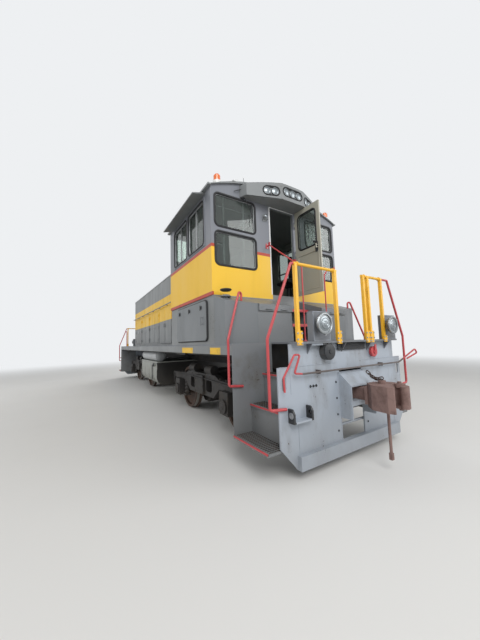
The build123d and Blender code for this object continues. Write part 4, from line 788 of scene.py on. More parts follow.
@dataclass
class Shop:
    """Makes objects and keeps the finishes that they share.

    Attributes:
        coats: the materials made so far.
        count: number of pieces made.
    """

    coats: dict[Coat, bpy.types.Material] = field(default_factory=dict)
    count: int = 0

    def paint(self, coat: Coat) -> bpy.types.Material:
        """The coat's material, built once.

        Args:
            coat: the finish.

        Returns:
            The material.
        """
        if coat not in self.coats:
            self.coats[coat] = coat.value.build()
        return self.coats[coat]

    def make(self, name: str, shells: Iterable[Shell], coat: Coat, body: str = "locomotive",
             smooth: float = SHARP) -> bpy.types.Object:
        """Make one object from closed surfaces and ride it on a body.

        Args:
            name: the piece's name.
            shells: surfaces in mm, where they stand on the locomotive.
            coat: its finish.
            body: the body that it moves with, or an empty string for none.
            smooth: edges sharper than this many degrees stay sharp.

        Returns:
            The object.
        """
        shell = join(shells)
        mesh = bpy.data.meshes.new(name)
        mesh.from_pydata((shell.points * MM).tolist(), [], shell.quads.tolist() + shell.tris.tolist())
        mesh.polygons.foreach_set("use_smooth", np.ones(len(mesh.polygons), bool))
        mesh.set_sharp_from_angle(angle=math.radians(smooth))
        mesh.materials.append(self.paint(coat))
        mesh.update()
        piece = bpy.data.objects.new(name, mesh)
        bpy.context.scene.collection.objects.link(piece)
        if body:
            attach(piece, body)
        self.count += 1
        log.info("%s: %d faces on %s", name, len(mesh.polygons), body or "a blend")
        return piece


# The cab


@dataclass
class Cab:
    """Windows, doors, seats and small fittings of the cab.

    Attributes:
        shop: where its pieces are made.
        front: X of the end wall's face.
        rear: X of the face of the wall over the hood.
        side: |Y| of the side walls.
        floor: height of the floor.
        pane_y: |Y| of the middle of the end windows.
        pane_w: their width.
        pane_z: lower and upper edges of the low and the high end window.
        corner: corner radius of the windows.
        side_x: lower and upper X of each side window.
        side_z: their lower and upper edge.
        rear_pane: Y of the middle and width of the windows over the hood.
        doorway: Y of both sides of the end doorway, then its lower and upper edge.
        latch_x: X of the latches of an access door.
        rail_feet: Y and height of each foot of the stair rails on the wall.
        treads: X of the edge and height of the two cab steps.
        tread_y: half width of the steps.
        seat_x: X of the seat backs.
        seat_y: |Y| of the seats.
    """

    shop: Shop
    front: float = 5005.0
    rear: float = 2855.0
    side: float = 1510.0
    floor: float = 2468.0
    pane_y: float = 1032.5
    pane_w: float = 795.0
    pane_z: tuple[tuple[float, float], ...] = ((2892.0, 3444.0), (3541.0, 4093.0))
    corner: float = 70.0
    side_x: tuple[tuple[float, float], ...] = ((4025.0, 4745.0), (3185.0, 3945.0))
    side_z: tuple[float, float] = (3290.0, 4060.0)
    rear_pane: tuple[float, float] = (-1205.0, 430.0)
    doorway: tuple[float, float, float, float] = (-303.0, 300.0, 2476.0, 4138.0)
    latch_x: tuple[float, ...] = (3520.0, 4055.0, 4590.0)
    rail_feet: tuple[tuple[float, float], ...] = ((-378.0, 3362.0), (450.0, 3300.0))
    treads: tuple[tuple[float, float], ...] = ((5505.0, 1900.0), (5255.0, 2184.0))
    tread_y: float = 322.0
    seat_x: float = 4250.0
    seat_y: float = 1050.0

    def windows(self) -> None:
        """Black gaskets and slim sashes round the fixed windows, with heater bars behind the end panes."""
        gaskets, sashes, bars = [], [], []
        front, wide, corner = self.front, self.pane_w, self.corner
        for s in BOTH:
            y = s * self.pane_y
            for low, high in self.pane_z:
                z, h = (low + high) / 2, high - low
                gaskets.append(ring((front + 2, y, z), (1, 0, 0), wide + 14, h + 14, corner + 7, 19, 12))
                sashes.append(ring((front - 24, y, z), (1, 0, 0), wide - 14, h - 14, corner - 7, 12, 8))
                for bar in (y - 0.28 * wide, y + 0.22 * wide):
                    bars.append(block((front - 52, bar - 14, low - 5), (front - 40, bar + 14, high + 5)))
                bars.append(block((front - 56, y - wide / 2, z + 70), (front - 46, y + wide / 2, z + 84)))
            low, high = self.side_z
            for left, right in self.side_x:
                x, z, w, h = (left + right) / 2, (low + high) / 2, right - left, high - low
                gaskets.append(ring((x, s * (self.side + 12), z), (0, s, 0), w + 8, h + 8, corner, 15, 11))
                sashes.append(ring((x, s * (self.side - 14), z), (0, s, 0), w - 24, h - 24, 50, 13, 9))
                inner, outer = s * (self.side - 24), s * (self.side - 6)
                sashes.append(block((x - 17, inner, low + 8), (x + 17, outer, high - 8)))
        y, wide = self.rear_pane
        for low, high in self.pane_z:
            gaskets.append(ring((self.rear - 2, y, (low + high) / 2), (-1, 0, 0), wide + 14, high - low + 14,
                                corner + 7, 17, 11))
        self.shop.make("cab_window_gaskets", gaskets, Coat.RUBBER)
        self.shop.make("cab_window_sashes", sashes, Coat.ALUMINIUM)
        self.shop.make("cab_window_heater_bars", bars, Coat.ALUMINIUM)

    def _glazing(self, door: str, middle: Point, axis: int, size: tuple[float, float],
                 faces: tuple[float, float], lip: tuple[float, float]) -> None:
        """Glaze a door: a pane, and a gasket on each of the door's faces.

        Args:
            door: the door's name, which its pieces carry.
            middle: middle of the pane's back.
            axis: the axis that the glass faces, 0 for X or 1 for Y.
            size: width and height of the pane.
            faces: place of the low and the high gasket along the axis.
            lip: half width and height of the gaskets.
        """
        normal = np.eye(3)[axis]
        pane = plate(middle, normal, rounded(*size, 72), 6, 1)
        self.shop.make(f"{door}_pane", [pane], Coat.GLASS, f"cab_{door}")
        seals = []
        for side, face in zip(BOTH, faces):
            place = [face if i == axis else c for i, c in enumerate(middle)]
            seals.append(ring(place, side * normal, size[0] + 4, size[1] + 4, 76, *lip))
        self.shop.make(f"{door}_gaskets", seals, Coat.RUBBER, f"cab_{door}")

    def doors(self) -> None:
        """Panes, gaskets and latches of the doors, and the pale strip round the end doorway."""
        self._glazing("end_door", (5345, 317, 3685), 1, (430, 680), (304, 336), (17, 9))
        latch = []
        for y, s in ((305, -1), (335, 1)):
            latch.append(plate((5560, y, 3298), (0, s, 0), rounded(64, 190, 14), 5))
            latch.append(spun(((24, 0), (24, 16), (18, 22), (0, 24)), (5520, y, 3400), (0, s, 0), 20))
        self.shop.make("end_door_latch", latch, Coat.IRON, "cab_end_door")
        bead = ring((5345, 304.5, 2893), (0, -1, 0), 508, 676, 32, 7, 4)
        self.shop.make("end_door_panel_bead", [bead], Coat.DOOR, "cab_end_door")
        self._glazing("walkway_door", (2832, 1200, 3640), 0, (310, 590), (2820, 2850), (15, 8))
        right, left, sill, head = self.doorway
        jamb = [(self.front + 1, y, z) for y, z in ((right, sill), (right, head), (left, head))]
        strip = swept(bent(jamb, 30), rounded(26, 4, 1.5, 2), (1, 0, 0))
        self.shop.make("doorway_strip", [strip], Coat.ROOF_WHITE)
        for name, s in SIDES:
            body = f"access_door_{name}"
            seal = ring((self.latch_x[1], s * 1504, 2000), (0, s, 0), 1460, 660, 64, 15, 13)
            self.shop.make(f"{body}_gasket", [seal], Coat.RUBBER, body)
            latches = []
            knob = ((34, 0), (34, 5), (16, 9), (16, 20), (0, 22))
            for x in self.latch_x:
                latches.append(spun(knob, (x, s * 1525, 2230), (0, s, 0), 20))
                latches.append(block((x - 9, s * 1541, 2180), (x + 9, s * 1551, 2268), 3))
            self.shop.make(f"{body}_latches", latches, Coat.IRON, body)

    def fittings(self) -> None:
        """Wipers, antenna, marker lamp, handrail brackets and step nosings of the cab."""
        front = self.front
        wipers = []
        for s in BOTH:
            y, tip = s * 900, s * 710
            wipers.append(block((front, y - 32, 4112), (front + 34, y + 32, 4168), 4))
            wipers.append(pipe(((5036, y, 4140), (5046, y - s * 30, 4130), (5032, tip, 3880)), 6, 8, 8))
            wipers.append(block((5016, tip - 6, 3700), (5026, tip + 6, 4060), 2))
        wipers.append(pipe(((5008, -882, 4300), (5036, -882, 4300), (5036, -1073, 4202)), 7, 10, 8))
        self.shop.make("window_wipers", wipers, Coat.IRON)
        mast = spun(((34, -8), (34, 8), (14, 22), (9, 90), (5, 100), (4, 290), (6, 296), (0, 302)),
                    (4705, -650, 4468), UP, 16)
        self.shop.make("roof_antenna", [mast], Coat.IRON)
        bulb = (front, -420, 3905)
        guard = [(x, y, 3850) for x, y in ((5011, -470), (5075, -470), (5075, -385), (5011, -385))]
        lamp = [plate((front, -420, 3892), (1, 0, 0), rounded(90, 130, 12), 6),
                spun(((34, 4), (40, 16), (40, 52), (34, 60)), bulb, (1, 0, 0), 20),
                pipe(guard, 6, 20, 8)]
        self.shop.make("door_marker_lamp", lamp, Coat.GREY)
        lens = spun(((33, 58), (33, 66), (24, 74), (0, 78)), bulb, (1, 0, 0), 20)
        self.shop.make("door_marker_lens", [lens], Coat.LENS)
        brackets = [plate((front, y, z), (1, 0, 0), rounded(70, 96, 14), 8) for y, z in self.rail_feet]
        brackets.append(block((front, -350, 3395), (front + 40, -330, 3440), 3))
        brackets += [spun(((38, 0), (38, 8), (20, 14), (14, 30)), (x, y, DECK), UP, 20)
                     for x, y in ((5720, -270), (5680, 310))]
        self.shop.make("stair_rail_brackets", brackets, Coat.RED)
        heads = [(front + 8, y, z + dz) for y, z in self.rail_feet for dz in (-34, 34)]
        self.shop.make("stair_rail_bolts", [bolts(heads, (1, 0, 0), 16, 8)], Coat.ZINC)
        nosings = []
        for x, z in self.treads:
            nosings.append(block((x - 34, -self.tread_y, z - 1), (x + 5, self.tread_y, z + 4)))
            nosings.append(block((x, -self.tread_y, z - 44), (x + 5, self.tread_y, z + 2)))
        self.shop.make("cab_step_nosings", nosings, Coat.RED)

    def inside(self) -> None:
        """Gauges and levers on the control stand, and a fluorescent lamp under the roof."""
        back, up = 220.0, 222.0  # how far the stand's gauge panel leans back and rises
        slope = np.array((back, 0.0, up)) / math.hypot(back, up)
        normal = (-slope[2], 0, slope[0])
        panel = np.array((3770.0, 0.0, 3339.0))
        metal, dials = [], []
        for y in (-420, -300, -180):
            place = panel + slope * 60 + (0, y, 0)
            metal.append(spun(((52, 0), (52, 22), (46, 26), (44, 14)), place, normal, 28))
            dials.append(spun(((44, 8), (44, 15), (0, 15.5)), place, normal, 28))
        knob = ((8, -26), (22, -14), (26, 0), (22, 14), (8, 26))
        for y, tilt in ((-450, -60), (-350, 0), (-250, 40)):
            foot = np.array((3630.0, y, 3080.0))
            metal.append(pipe((foot, foot + (tilt, 0, 150), foot + (tilt * 1.4, 0, 210)), 9, 30, 8))
            metal.append(spun(knob, foot + (tilt * 1.4, 0, 225), UP, 16))
        self.shop.make("control_gauges", metal, Coat.IRON)
        self.shop.make("control_dials", dials, Coat.DIAL)
        self.shop.make("cab_ceiling_lamp", [block((3300, -60, 4330), (4500, 60, 4372), 8)], Coat.DIAL)

    def seats(self) -> None:
        """Crowned vinyl cushions on swivel pedestals, in place of the plain seat blocks."""
        legs = []
        back_axes = np.array(((0, 1, 0), (0, 0, 1), (1, 0, 0)), float)
        for name, s in SIDES:
            x, y, z = self.seat_x, s * self.seat_y, self.floor + 500
            cushion = self._cushion((x - 250, y, z + 52), (238, 222, 48), np.eye(3), 16)
            back = self._cushion((x - 10, y, z + 375), (214, 268, 36), back_axes, 12)
            for part, shell in (("cushion", cushion), ("back", back)):
                piece = self.shop.make(f"seat_{part}_{name}", [shell], Coat.SEAT, smooth=60)
                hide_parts("cab_seats")
            legs.append(spun(((170, 0), (170, 14), (70, 34), (52, 60), (52, 430), (120, 470), (150, 498)),
                             (x - 250, y, self.floor), UP, 28))
            legs.append(block((x - 6, y - 200, z + 20), (x + 8, y + 200, z + 120), 4))
            legs += [pipe(((x - 20, y + arm, z + 240), (x - 300, y + arm, z + 240)), 16, 20)
                     for arm in (-226, 226)]
        pedestals = self.shop.make("seat_pedestals", legs, Coat.IRON)
        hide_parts("cab_seats")

    @staticmethod
    def _cushion(middle: Point, half: Point, axes: Array, crown: float) -> Shell:
        """Crowned pad: a rounded box |cos|^e by |sin|^e, its top a parabola less three sewn channels.

        Args:
            middle: centre in mm.
            half: half sizes along the axes; the third is the thickness.
            axes: the pad's own axes.
            crown: rise of the middle of the top.

        Returns:
            The pad.
        """
        lat = np.linspace(-math.pi / 2 + 0.02, math.pi / 2 - 0.02, 33)[:, None]
        lon = np.linspace(0, math.tau, 72, endpoint=False)[None, :]

        def power(v: Array, e: float) -> Array:
            """Signed power."""
            return np.sign(v) * np.abs(v) ** e

        flat, thick = power(np.cos(lat), 0.42), power(np.sin(lat), 0.7)
        u, v = flat * power(np.cos(lon), 0.34), flat * power(np.sin(lon), 0.34)
        pull = 1 - 0.035 * np.cos(np.clip(u, -1, 1) * math.pi / 2) * np.abs(v)
        top = np.clip(thick, 0, 1)
        channel = 5.0 * sum(np.exp(-((u - c) / 0.045) ** 2) for c in (-0.45, 0.0, 0.45))
        rise = top * (crown * (1 - u**2) * (1 - v**2) - channel * (1 - np.abs(v) ** 6))
        x = half[0] * u * (1 - 0.03 * np.cos(np.clip(v, -1, 1) * math.pi / 2) * np.abs(u))
        y = half[1] * v * pull
        z = half[2] * thick + rise
        return skin(np.stack((x, y, z), axis=-1)).placed(middle, axes)

    def build(self) -> None:
        """Dress the whole cab."""
        self.windows()
        self.doors()
        self.fittings()
        self.inside()
        self.seats()


@dataclass
class LampHousing:
    """Sealed-beam lamps and black oval rings on the housing over the end door.

    Attributes:
        shop: where its pieces are made.
        foot: height of the housing's lower edge.
        face: X of its middle face.
        bend: |Y| where its face turns back.
        sweep: how far each side face runs outwards in Y and back in X.
        pitch: distance between lamps.
        bulb: radius of a recess.
        groups: Y of the middle of each group, its number of lamps and its height over the foot.
    """

    shop: Shop
    foot: float = 4138.0
    face: float = 5340.0
    bend: float = 260.0
    sweep: tuple[float, float] = (630.0, 195.0)
    pitch: float = 150.0
    bulb: float = 62.0
    groups: tuple[tuple[float, int, float], ...] = ((-450.0, 2, 128.0), (0.0, 3, 160.0), (450.0, 2, 128.0))

    def build(self) -> None:
        """Put a ring round each recess, and a bezel and a lens on each bulb."""
        rings, bezels, lenses = [], [], []
        out, back = self.sweep
        for y, count, height in self.groups:
            x, normal, across = self.face, np.array((1.0, 0, 0)), np.array((0, 1.0, 0))
            if y:
                s = math.copysign(1, y)
                x -= back * ((abs(y) - self.bend) / out)
                normal = np.array((out, s * back, 0)) / math.hypot(out, back)
                across = np.array((-s * back, out, 0)) / math.hypot(out, back)
            middle = np.array((x, y, self.foot + height))
            tall = 2 * self.bulb + 36
            wide = (count - 1) * self.pitch + tall
            rings.append(ring(middle + normal, normal, wide, tall, tall / 2, 13, 10, 9))
            for i in range(count):
                at = middle + across * self.pitch * (i - (count - 1) / 2)
                bezels.append(spun(((70, -21), (70, -5), (66, 1), (59, 2), (57, -4)), at, normal, 36))
                lenses.append(spun(((58, -14), (58, -3), (46, 4), (24, 8), (0, 9)), at, normal, 36))
        self.shop.make("roof_lamp_rings", rings, Coat.RUBBER)
        self.shop.make("roof_lamp_bezels", bezels, Coat.CHROME)
        self.shop.make("roof_lamp_lenses", lenses, Coat.LENS)


# The platform and its ends


@dataclass
class End:
    """Headlamps, steps, end plate, frames and coupler chain of one end.

    Attributes:
        shop: where its pieces are made.
        name: cab or nose, which its pieces carry.
        e: 1 at the cab end, -1 at the nose; every X below is turned by it.
        end_x: face of the end plate.
        lug_x: middle of the tow lugs and of the connections on the plate's lip.
        lamp_x: base of the headlamps.
        lamp_y: Y of both headlamps.
        lamp_z: their height.
        posts: Y of the end frames' posts.
        lug_y: |Y| of both faces of a tow lug.
        steps: each step's height and the |Y| of its inner and outer edge.
        step_x: both ends of the steps.
        bar_step: distance between the bars of a step.
        arm: place where the uncoupling lever's arm holds the chain.
        lock: place where the chain meets the coupler's lock.
        sag: how far the chain hangs down in its middle.
    """

    shop: Shop
    name: str
    e: int
    end_x: float = 6285.0
    lug_x: float = 6345.0
    lamp_x: float = 6370.3
    lamp_y: tuple[float, float] = (-700.0, 870.0)
    lamp_z: float = 1826.0
    posts: tuple[float, ...] = (-1061.0, -331.0, 317.0, 425.0, 778.0)
    lug_y: tuple[float, float] = (1205.0, 890.0)
    steps: tuple[tuple[float, float, float], ...] = ((400.0, 1190.0, 1500.0), (770.0, 960.0, 1220.0),
                                                     (1170.0, 800.0, 990.0))
    step_x: tuple[float, float] = (5537.0, 6265.0)
    bar_step: float = 40.0
    arm: tuple[float, float, float] = (6497.0, 60.0, 1186.0)
    lock: tuple[float, float, float] = (6722.0, 4.0, 1124.0)
    sag: float = 46.0

    def _make(self, kind: str, shells: Iterable[Shell], coat: Coat, smooth: float = SHARP) -> None:
        """Make a piece that rides on the locomotive and carries this end's name."""
        self.shop.make(f"{kind}_{self.name}", shells, coat, smooth=smooth)

    def lamps(self) -> None:
        """Lens, bezel and clamp screws of the two headlamps, and painted highlights round their boxes' edges.
        """
        e, axis = self.e, (self.e, 0, 0)
        lens = ((112, 80), (110, 92), (98, 98), (94, 94), (90, 101), (70, 105), (66, 101), (62, 107),
                (34, 110), (30, 106), (26, 110.5), (0, 111))
        bezel = ((136, 84), (138, 92), (137, 104), (130, 111), (116, 112), (110, 106), (110, 98))
        lenses, bezels, screws = [], [], []
        for y in self.lamp_y:
            at = (e * self.lamp_x, y, self.lamp_z)
            lenses.append(spun(lens, at, axis, 48))
            bezels.append(spun(bezel, at, axis, 48))
            ears = [(e * (self.lamp_x + 98), y + 140 * math.cos(a), self.lamp_z + 140 * math.sin(a))
                    for a in (0.6, 2.7, 4.7)]
            screws.append(bolts(ears, axis, 16, 12))
        self._make("headlamp_lenses", lenses, Coat.LENS)
        self._make("headlamp_bezels", bezels, Coat.CHROME)
        self._make("headlamp_screws", screws, Coat.ZINC)
        # Pale beads round the lamp boxes' front edges: a painted highlight.
        edges = [ring((e * 6370.5, y, 1801), axis, width, 362, 6, 5, 3)
                 for y, width in ((-643, 302), (955, 292))]
        self._make("lamp_box_edge_highlights", edges, Coat.BOLT)

    def frames(self) -> None:
        """Bolts through the post feet and round caps on the top bars."""
        e = self.e
        places = [(e * 6397, y + dy, z) for y in self.posts for dy in (-32, 32)
                  for z in ((1592, 1640, 1712) if y != self.posts[-1] else (1592, 1645))]
        self._make("end_frame_bolts", [bolts(places, (e, 0, 0), 18, 10)], Coat.ZINC)
        collars = [spun(((27, -9), (30, -6), (30, 6), (27, 9)), (e * 6364, y, 2560), (0, 1, 0), 24)
                   for y in (-1028, -364, 350, 745)]
        self._make("end_frame_collars", collars, Coat.YELLOW)

    def plate(self) -> None:
        """Seams, shelves at the tow lugs, lug bushes, pads and bolts of the end plate."""
        e, x, axis = self.e, self.e * self.end_x, (self.e, 0, 0)
        upright = ((-1045, 310, 680), (1045, 310, 680), (-1140, 1000, 1310), (-268, 305, 1180))
        seams = [block((x, y - 4, low), (x + e * 4, y + 4, high), 1.5) for y, low, high in upright]
        seams += [block((x, y, 1312), (x + e * 5, y + 1020, 1322), 1.5) for y in (-1320, 300)]
        self._make("end_plate_seams", seams, Coat.PILOT)
        shelves = [block((x, s * 918, 688), (x + e * 84, s * 1178, 700), 3) for s in BOTH]
        self._make("jack_shelves", shelves, Coat.PILOT)
        collar = ((32, -1), (36, 2), (36, 6), (23, 8), (23, 0))
        bushes = [spun(collar, (e * self.lug_x, s * y, 780), (0, s * way, 0), 24)
                  for s in BOTH for y, way in zip(self.lug_y, (1, -1))]
        self._make("lug_bushes", bushes, Coat.ZINC)
        pads = [plate((x, -770, 1058), axis, rounded(176, 62, 30), 5),
                plate((e * 6361, -690, 1574), axis, rounded(300, 26, 4, 2), 6)]
        self._make("end_plate_pads", pads, Coat.PILOT)
        pad_bolts = [(x + e * 4, -770 + dy, 1058) for dy in (-52, 0, 52)]
        pocket_bolts = [(x, s * 330, z) for s in BOTH for z in (430, 640, 850, 1060)]
        heads = [bolts(pad_bolts, axis, 26, 14), bolts(pocket_bolts, axis, 20, 10)]
        self._make("end_plate_bolts", heads, Coat.IRON)

    def connections(self) -> None:
        """Jumper receptacle cover, hose cock, and a painted shadow of the deck grating over the coupler."""
        e, axis = self.e, (self.e, 0, 0)
        cover = [spun(((96, -6), (104, 0), (104, 10), (88, 16), (30, 20), (28, 30), (0, 32)),
                      (e * 6365, -520, 1474), axis, 36),
                 block((e * self.lug_x, -560, 1560), (e * 6379, -480, 1590), 4)]
        self._make("receptacle_cover", cover, Coat.IRON)
        cock = [spun(((77, -40), (79, -20), (79, -2), (70, 6), (34, 8), (30, 22), (0, 24)),
                     (e * self.lug_x, 520, 1431), axis, 32),
                block((e * 6360, 498, 1431), (e * 6374, 542, 1540), 5)]
        self._make("hose_cock", cock, Coat.RED)
        # Painted shadow: a dark sheet and crossed dark bars where the deck's grating casts its diamond shadow
        # on the plate.
        sheet = plate((e * 6300, 40, 1530), axis, rounded(620, 104, 6, 2), 6)
        self._make("grating_shadow_plate", [sheet], Coat.IRON)
        rods = [pipe(((e * 6306, y + lean, 1482), (e * 6306, y - lean, 1578)), 3, 5, 6)
                for y in range(-265, 347, 34) for lean in (-50, 50)]
        self._make("grating_shadow_bars", rods, Coat.IRON)

    def treads(self) -> None:
        """Serrated bars across each tread and a red nosing on its outer edge.

        A bar is a four-sided strip along Y whose top edge is high and low by turns.
        """
        e, (start, end) = self.e, self.step_x
        bars, nosings = [], []
        count = 15
        teeth = np.where(np.arange(count) % 2, 11.0, 5.0)
        for s in BOTH:
            for top, inner, outer in self.steps:
                nosings.append(block((e * start, s * (outer - 12), top - 16),
                                     (e * end, s * (outer + 4), top + 4)))
                y = s * (inner + 14 + np.linspace(0, 1, count) * (outer - inner - 50))
                for x in np.arange(start + 24, end - 10, self.bar_step):
                    rings = np.zeros((count, 4, 3))
                    rings[..., 0] = e * (x + np.array((-2.5, 2.5, 2.5, -2.5)))
                    rings[..., 1] = y[:, None]
                    rings[:, :2, 2] = top - 1
                    rings[:, 2:, 2] = (top + teeth)[:, None]
                    bars.append(skin(rings))
        self._make("step_tread_bars", bars, Coat.GRATE, smooth=20)
        self._make("step_nosings", nosings, Coat.RED)

    def chain(self) -> None:
        """Chain from the uncoupling lever's arm down to the coupler's lock: stadium links on a sagging line.

        The line is straight less 4 * sag * t * (1 - t), and every second link lies turned a quarter.
        """
        start, end = np.array(self.arm), np.array(self.lock)
        count = 7
        t = (np.arange(count) + 0.5) / count
        middle = start + (end - start) * t[:, None] - np.array((0, 0, self.sag)) * (4 * t * (1 - t))[:, None]
        aim = np.gradient(middle, axis=0)
        path = raised(rounded(34, 66, 17, 5), 0)
        links = []
        for i in range(count):
            axes = axes_for(np.cross(aim[i], (0, 1, 0)) if i % 2 else (0, 1, 0.001), aim[i])
            link = swept(path, circle(8, 6.5), UP, loop=True).placed(middle[i], axes)
            link.points[:, 0] *= self.e
            links.append(link)
        piece = self.shop.make(f"lock_chain_{self.name}", links, Coat.CHAIN, body="")
        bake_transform(piece)

    def build(self) -> None:
        """Dress this end."""
        self.lamps()
        self.frames()
        self.plate()
        self.connections()
        self.treads()
        self.chain()


@dataclass
class Platform:
    """Clearance marks on the side sill, studs on the lids of the end boxes, and a vent cap on one.

    Attributes:
        shop: where its pieces are made.
        mark_x: both ends of each mark.
        stud_y: |Y| of the studs of a lid.
    """

    shop: Shop
    mark_x: tuple[tuple[float, float], ...] = ((3530.0, 4100.0), (4840.0, 5195.0))
    stud_y: tuple[float, ...] = (400.0, 680.0, 960.0)

    def build(self) -> None:
        """Dress the platform."""
        marks = [block((start, -1491.5, 1455), (end, -1489, 1557), 0.8) for start, end in self.mark_x]
        self.shop.make("sill_marks", marks, Coat.SILL_MARK)
        for name, s in SIDES:
            lid = f"battery_lid_{name}"
            studs = bolts([(5550, s * y, 2140) for y in self.stud_y], (1, 0, 0), 14, 6)
            self.shop.make(f"{lid}_studs", [studs], Coat.BOX, lid)
        cap = spun(((70, -12), (88, 0), (92, 10), (80, 20), (40, 26), (0, 28)), (5155, -1350, 2437), UP, 32)
        self.shop.make("box_vent_cap", [cap], Coat.IRON)


# The hood


@dataclass
class Hood:
    """Latches, hinges, beads, battens, fan guards and lamps of the hood.

    Attributes:
        shop: where its pieces are made.
        half: |Y| of the sides.
        panel: how far the fixed door panels stand proud.
        fixed: X of the middle of each pair of fixed panels.
        leaf: distance from a pair's middle to the near and the far edge of a fixed leaf.
        opening: X of the middle of the pair that opens.
        door: distance from there to a door's middle, the door's width and |Y| of its face.
        door_z: lower and upper edge of all doors.
        hinge_z: heights of the hinges.
        eave: height where the roof's arch starts.
        crown: height of its middle.
        x: both ends of the hood.
        batten_x: X of the battens.
        lug_x: X of the lift lugs.
        fans: X of the fans.
        guard: radius and rise of a fan guard's dome.
        stacks: X of the exhaust stacks.
        nose_lamps: X, |Y| and height of the nose lamps.
    """

    shop: Shop
    half: float = 910.0
    panel: float = 12.0
    fixed: tuple[float, ...] = (-4090.0, -2610.0, -1130.0, 1830.0)
    leaf: tuple[float, float] = (5.0, 650.0)
    opening: float = 350.0
    door: tuple[float, float, float] = (316.5, 627.0, 945.0)
    door_z: tuple[float, float] = (1700.0, 2790.0)
    hinge_z: tuple[float, ...] = (1830.0, 2245.0, 2660.0)
    eave: float = 3780.0
    crown: float = 3980.0
    x: tuple[float, float] = (-5095.0, 2855.0)
    batten_x: tuple[float, ...] = (-4900.0, -3120.0, -1870.0, -390.0, 1090.0, 2570.0)
    lug_x: tuple[float, ...] = (-4950.0, -3000.0, -700.0, 1400.0, 2600.0)
    fans: tuple[float, float] = (-4500.0, -3600.0)
    guard: tuple[float, float] = (360.0, 26.0)
    stacks: tuple[float, float] = (-600.0, -2600.0)
    nose_lamps: tuple[float, float, float] = (-5183.0, 110.0, 3660.0)

    def _leaf(self, pair: float, way: int, s: int) -> tuple[list[Shell], list[Shell]]:
        """Bead round one fixed leaf, with its hinges on the far edge and its latch on the near one.

        Args:
            pair: X of the middle of the pair.
            way: -1 for the leaf toward the nose, 1 for the one toward the cab.
            s: side, -1 or 1.

        Returns:
            The painted shells and the bare metal ones.
        """
        near, far = (pair + way * reach for reach in self.leaf)
        face, normal = s * (self.half + self.panel), (0, s, 0)
        middle = ((near + far) / 2, face, sum(self.door_z) / 2)
        painted = [ring(middle, normal, abs(far - near) - 60, 1030, 20, 8, 4, 3)]
        barrel = ((14, -52), (15, -50), (15, 50), (14, 52))
        for z in self.hinge_z:
            painted.append(spun(barrel, (far, face + s * 6, z), UP, 12))
            painted.append(block((far - way * 8, face, z - 30), (far - way * 110, face + s * 6, z + 30), 2))
        latch = near + way * 62
        metal = [plate((latch, face, 2245), normal, rounded(60, 150, 12), 5),
                 block((latch - 8, face + s * 5, 2190), (latch + 8, face + s * 24, 2290), 4)]
        return painted, metal

    def doors(self) -> None:
        """Dress the fixed panels and the doors that open."""
        painted, metal = [], []
        for s in BOTH:
            for pair in self.fixed:
                for way in BOTH:
                    beads, latches = self._leaf(pair, way, s)
                    painted += beads
                    metal += latches
        self.shop.make("hood_panel_beads", painted, Coat.HOOD)
        self.shop.make("hood_panel_latches", metal, Coat.ZINC)
        reach, wide, face = self.door
        for name, s in SIDES:
            for hand, way in (("rear", -1), ("front", 1)):
                body = f"hood_door_{name}_{hand}"
                middle = (self.opening + way * reach, s * face, sum(self.door_z) / 2)
                bead = ring(middle, (0, s, 0), wide - 90, 1020, 20, 8, 4, 3)
                self.shop.make(f"{body}_bead", [bead], Coat.HOOD, body)

    def arch(self, y: Array | float) -> Array:
        """Height of the arched roof: a circle through both eaves and the crown.

        Args:
            y: Y of the points.

        Returns:
            The height at each.
        """
        rise = self.crown - self.eave
        radius = (self.half**2 + rise**2) / (2 * rise)
        return self.crown - radius + np.sqrt(radius**2 - y**2)

    def shell(self) -> None:
        """Battens over the roof and down the sides, a painted highlight along each eave and a skirt below."""
        battens = []
        y = np.linspace(-self.half, self.half, 25)
        for x in self.batten_x:
            over = np.column_stack((np.full(25, x), y, self.arch(y)))
            foot = np.array(((x, -self.half, 2900.0), (x, -self.half, 3400.0)))
            path = np.concatenate((foot, over, foot[::-1] * (1, -1, 1)))
            battens.append(swept(path, rounded(7, 44, 2, 2), (1, 0, 0)))
        self.shop.make("hood_battens", battens, Coat.HOOD)
        start, end, half = self.x[0] + 10, self.x[1] - 10, self.half
        # A pale rail on each eave: a painted highlight where light catches the eave's rounded edge.
        eaves = [block((start, s * half, self.eave - 14), (end - 10, s * (half + 16), self.eave + 10), 4)
                 for s in BOTH]
        self.shop.make("hood_eave_highlights", eaves, Coat.AIR)
        skirts = [block((start, s * half, 1612), (end, s * (half + 10), 1660), 3) for s in BOTH]
        self.shop.make("hood_skirts", skirts, Coat.GREY)

    def roof(self) -> None:
        """Domed wire guards over the fans, lift lugs and stack rims.

        A guard's wires lie on a dome: its edge's height plus rise * (1 - (r / radius)^2).
        """
        wires = []
        radius, rise = self.guard
        for x in self.fans:
            for r in range(60, 350, 36):
                path = raised(circle(40, r) + (x, 0), 4052 + rise * (1 - (r / radius) ** 2))
                wires.append(swept(path, circle(6, 4), UP, loop=True))
            t = np.linspace(-350, 350, 15)
            for a in np.arange(8) * math.pi / 8:
                z = 4048 + rise * (1 - (t / radius) ** 2)
                path = np.column_stack((x + t * math.cos(a), t * math.sin(a), z))
                wires.append(swept(path, circle(6, 5), UP))
        self.shop.make("fan_guards", wires, Coat.IRON)
        roof = self.arch(600.0)
        bow = ((-50, roof - 6), (-50, roof + 60), (50, roof + 60), (50, roof - 6))
        lugs = [pipe([(x + dx, s * 600, z) for dx, z in bow], 11, 26) for x in self.lug_x for s in BOTH]
        self.shop.make("hood_lift_lugs", lugs, Coat.GREY)
        rims = [ring((x, 0, 4231), UP, 392, 252, 20, 9, 7, 4) for x in self.stacks]
        self.shop.make("stack_rims", rims, Coat.IRON)

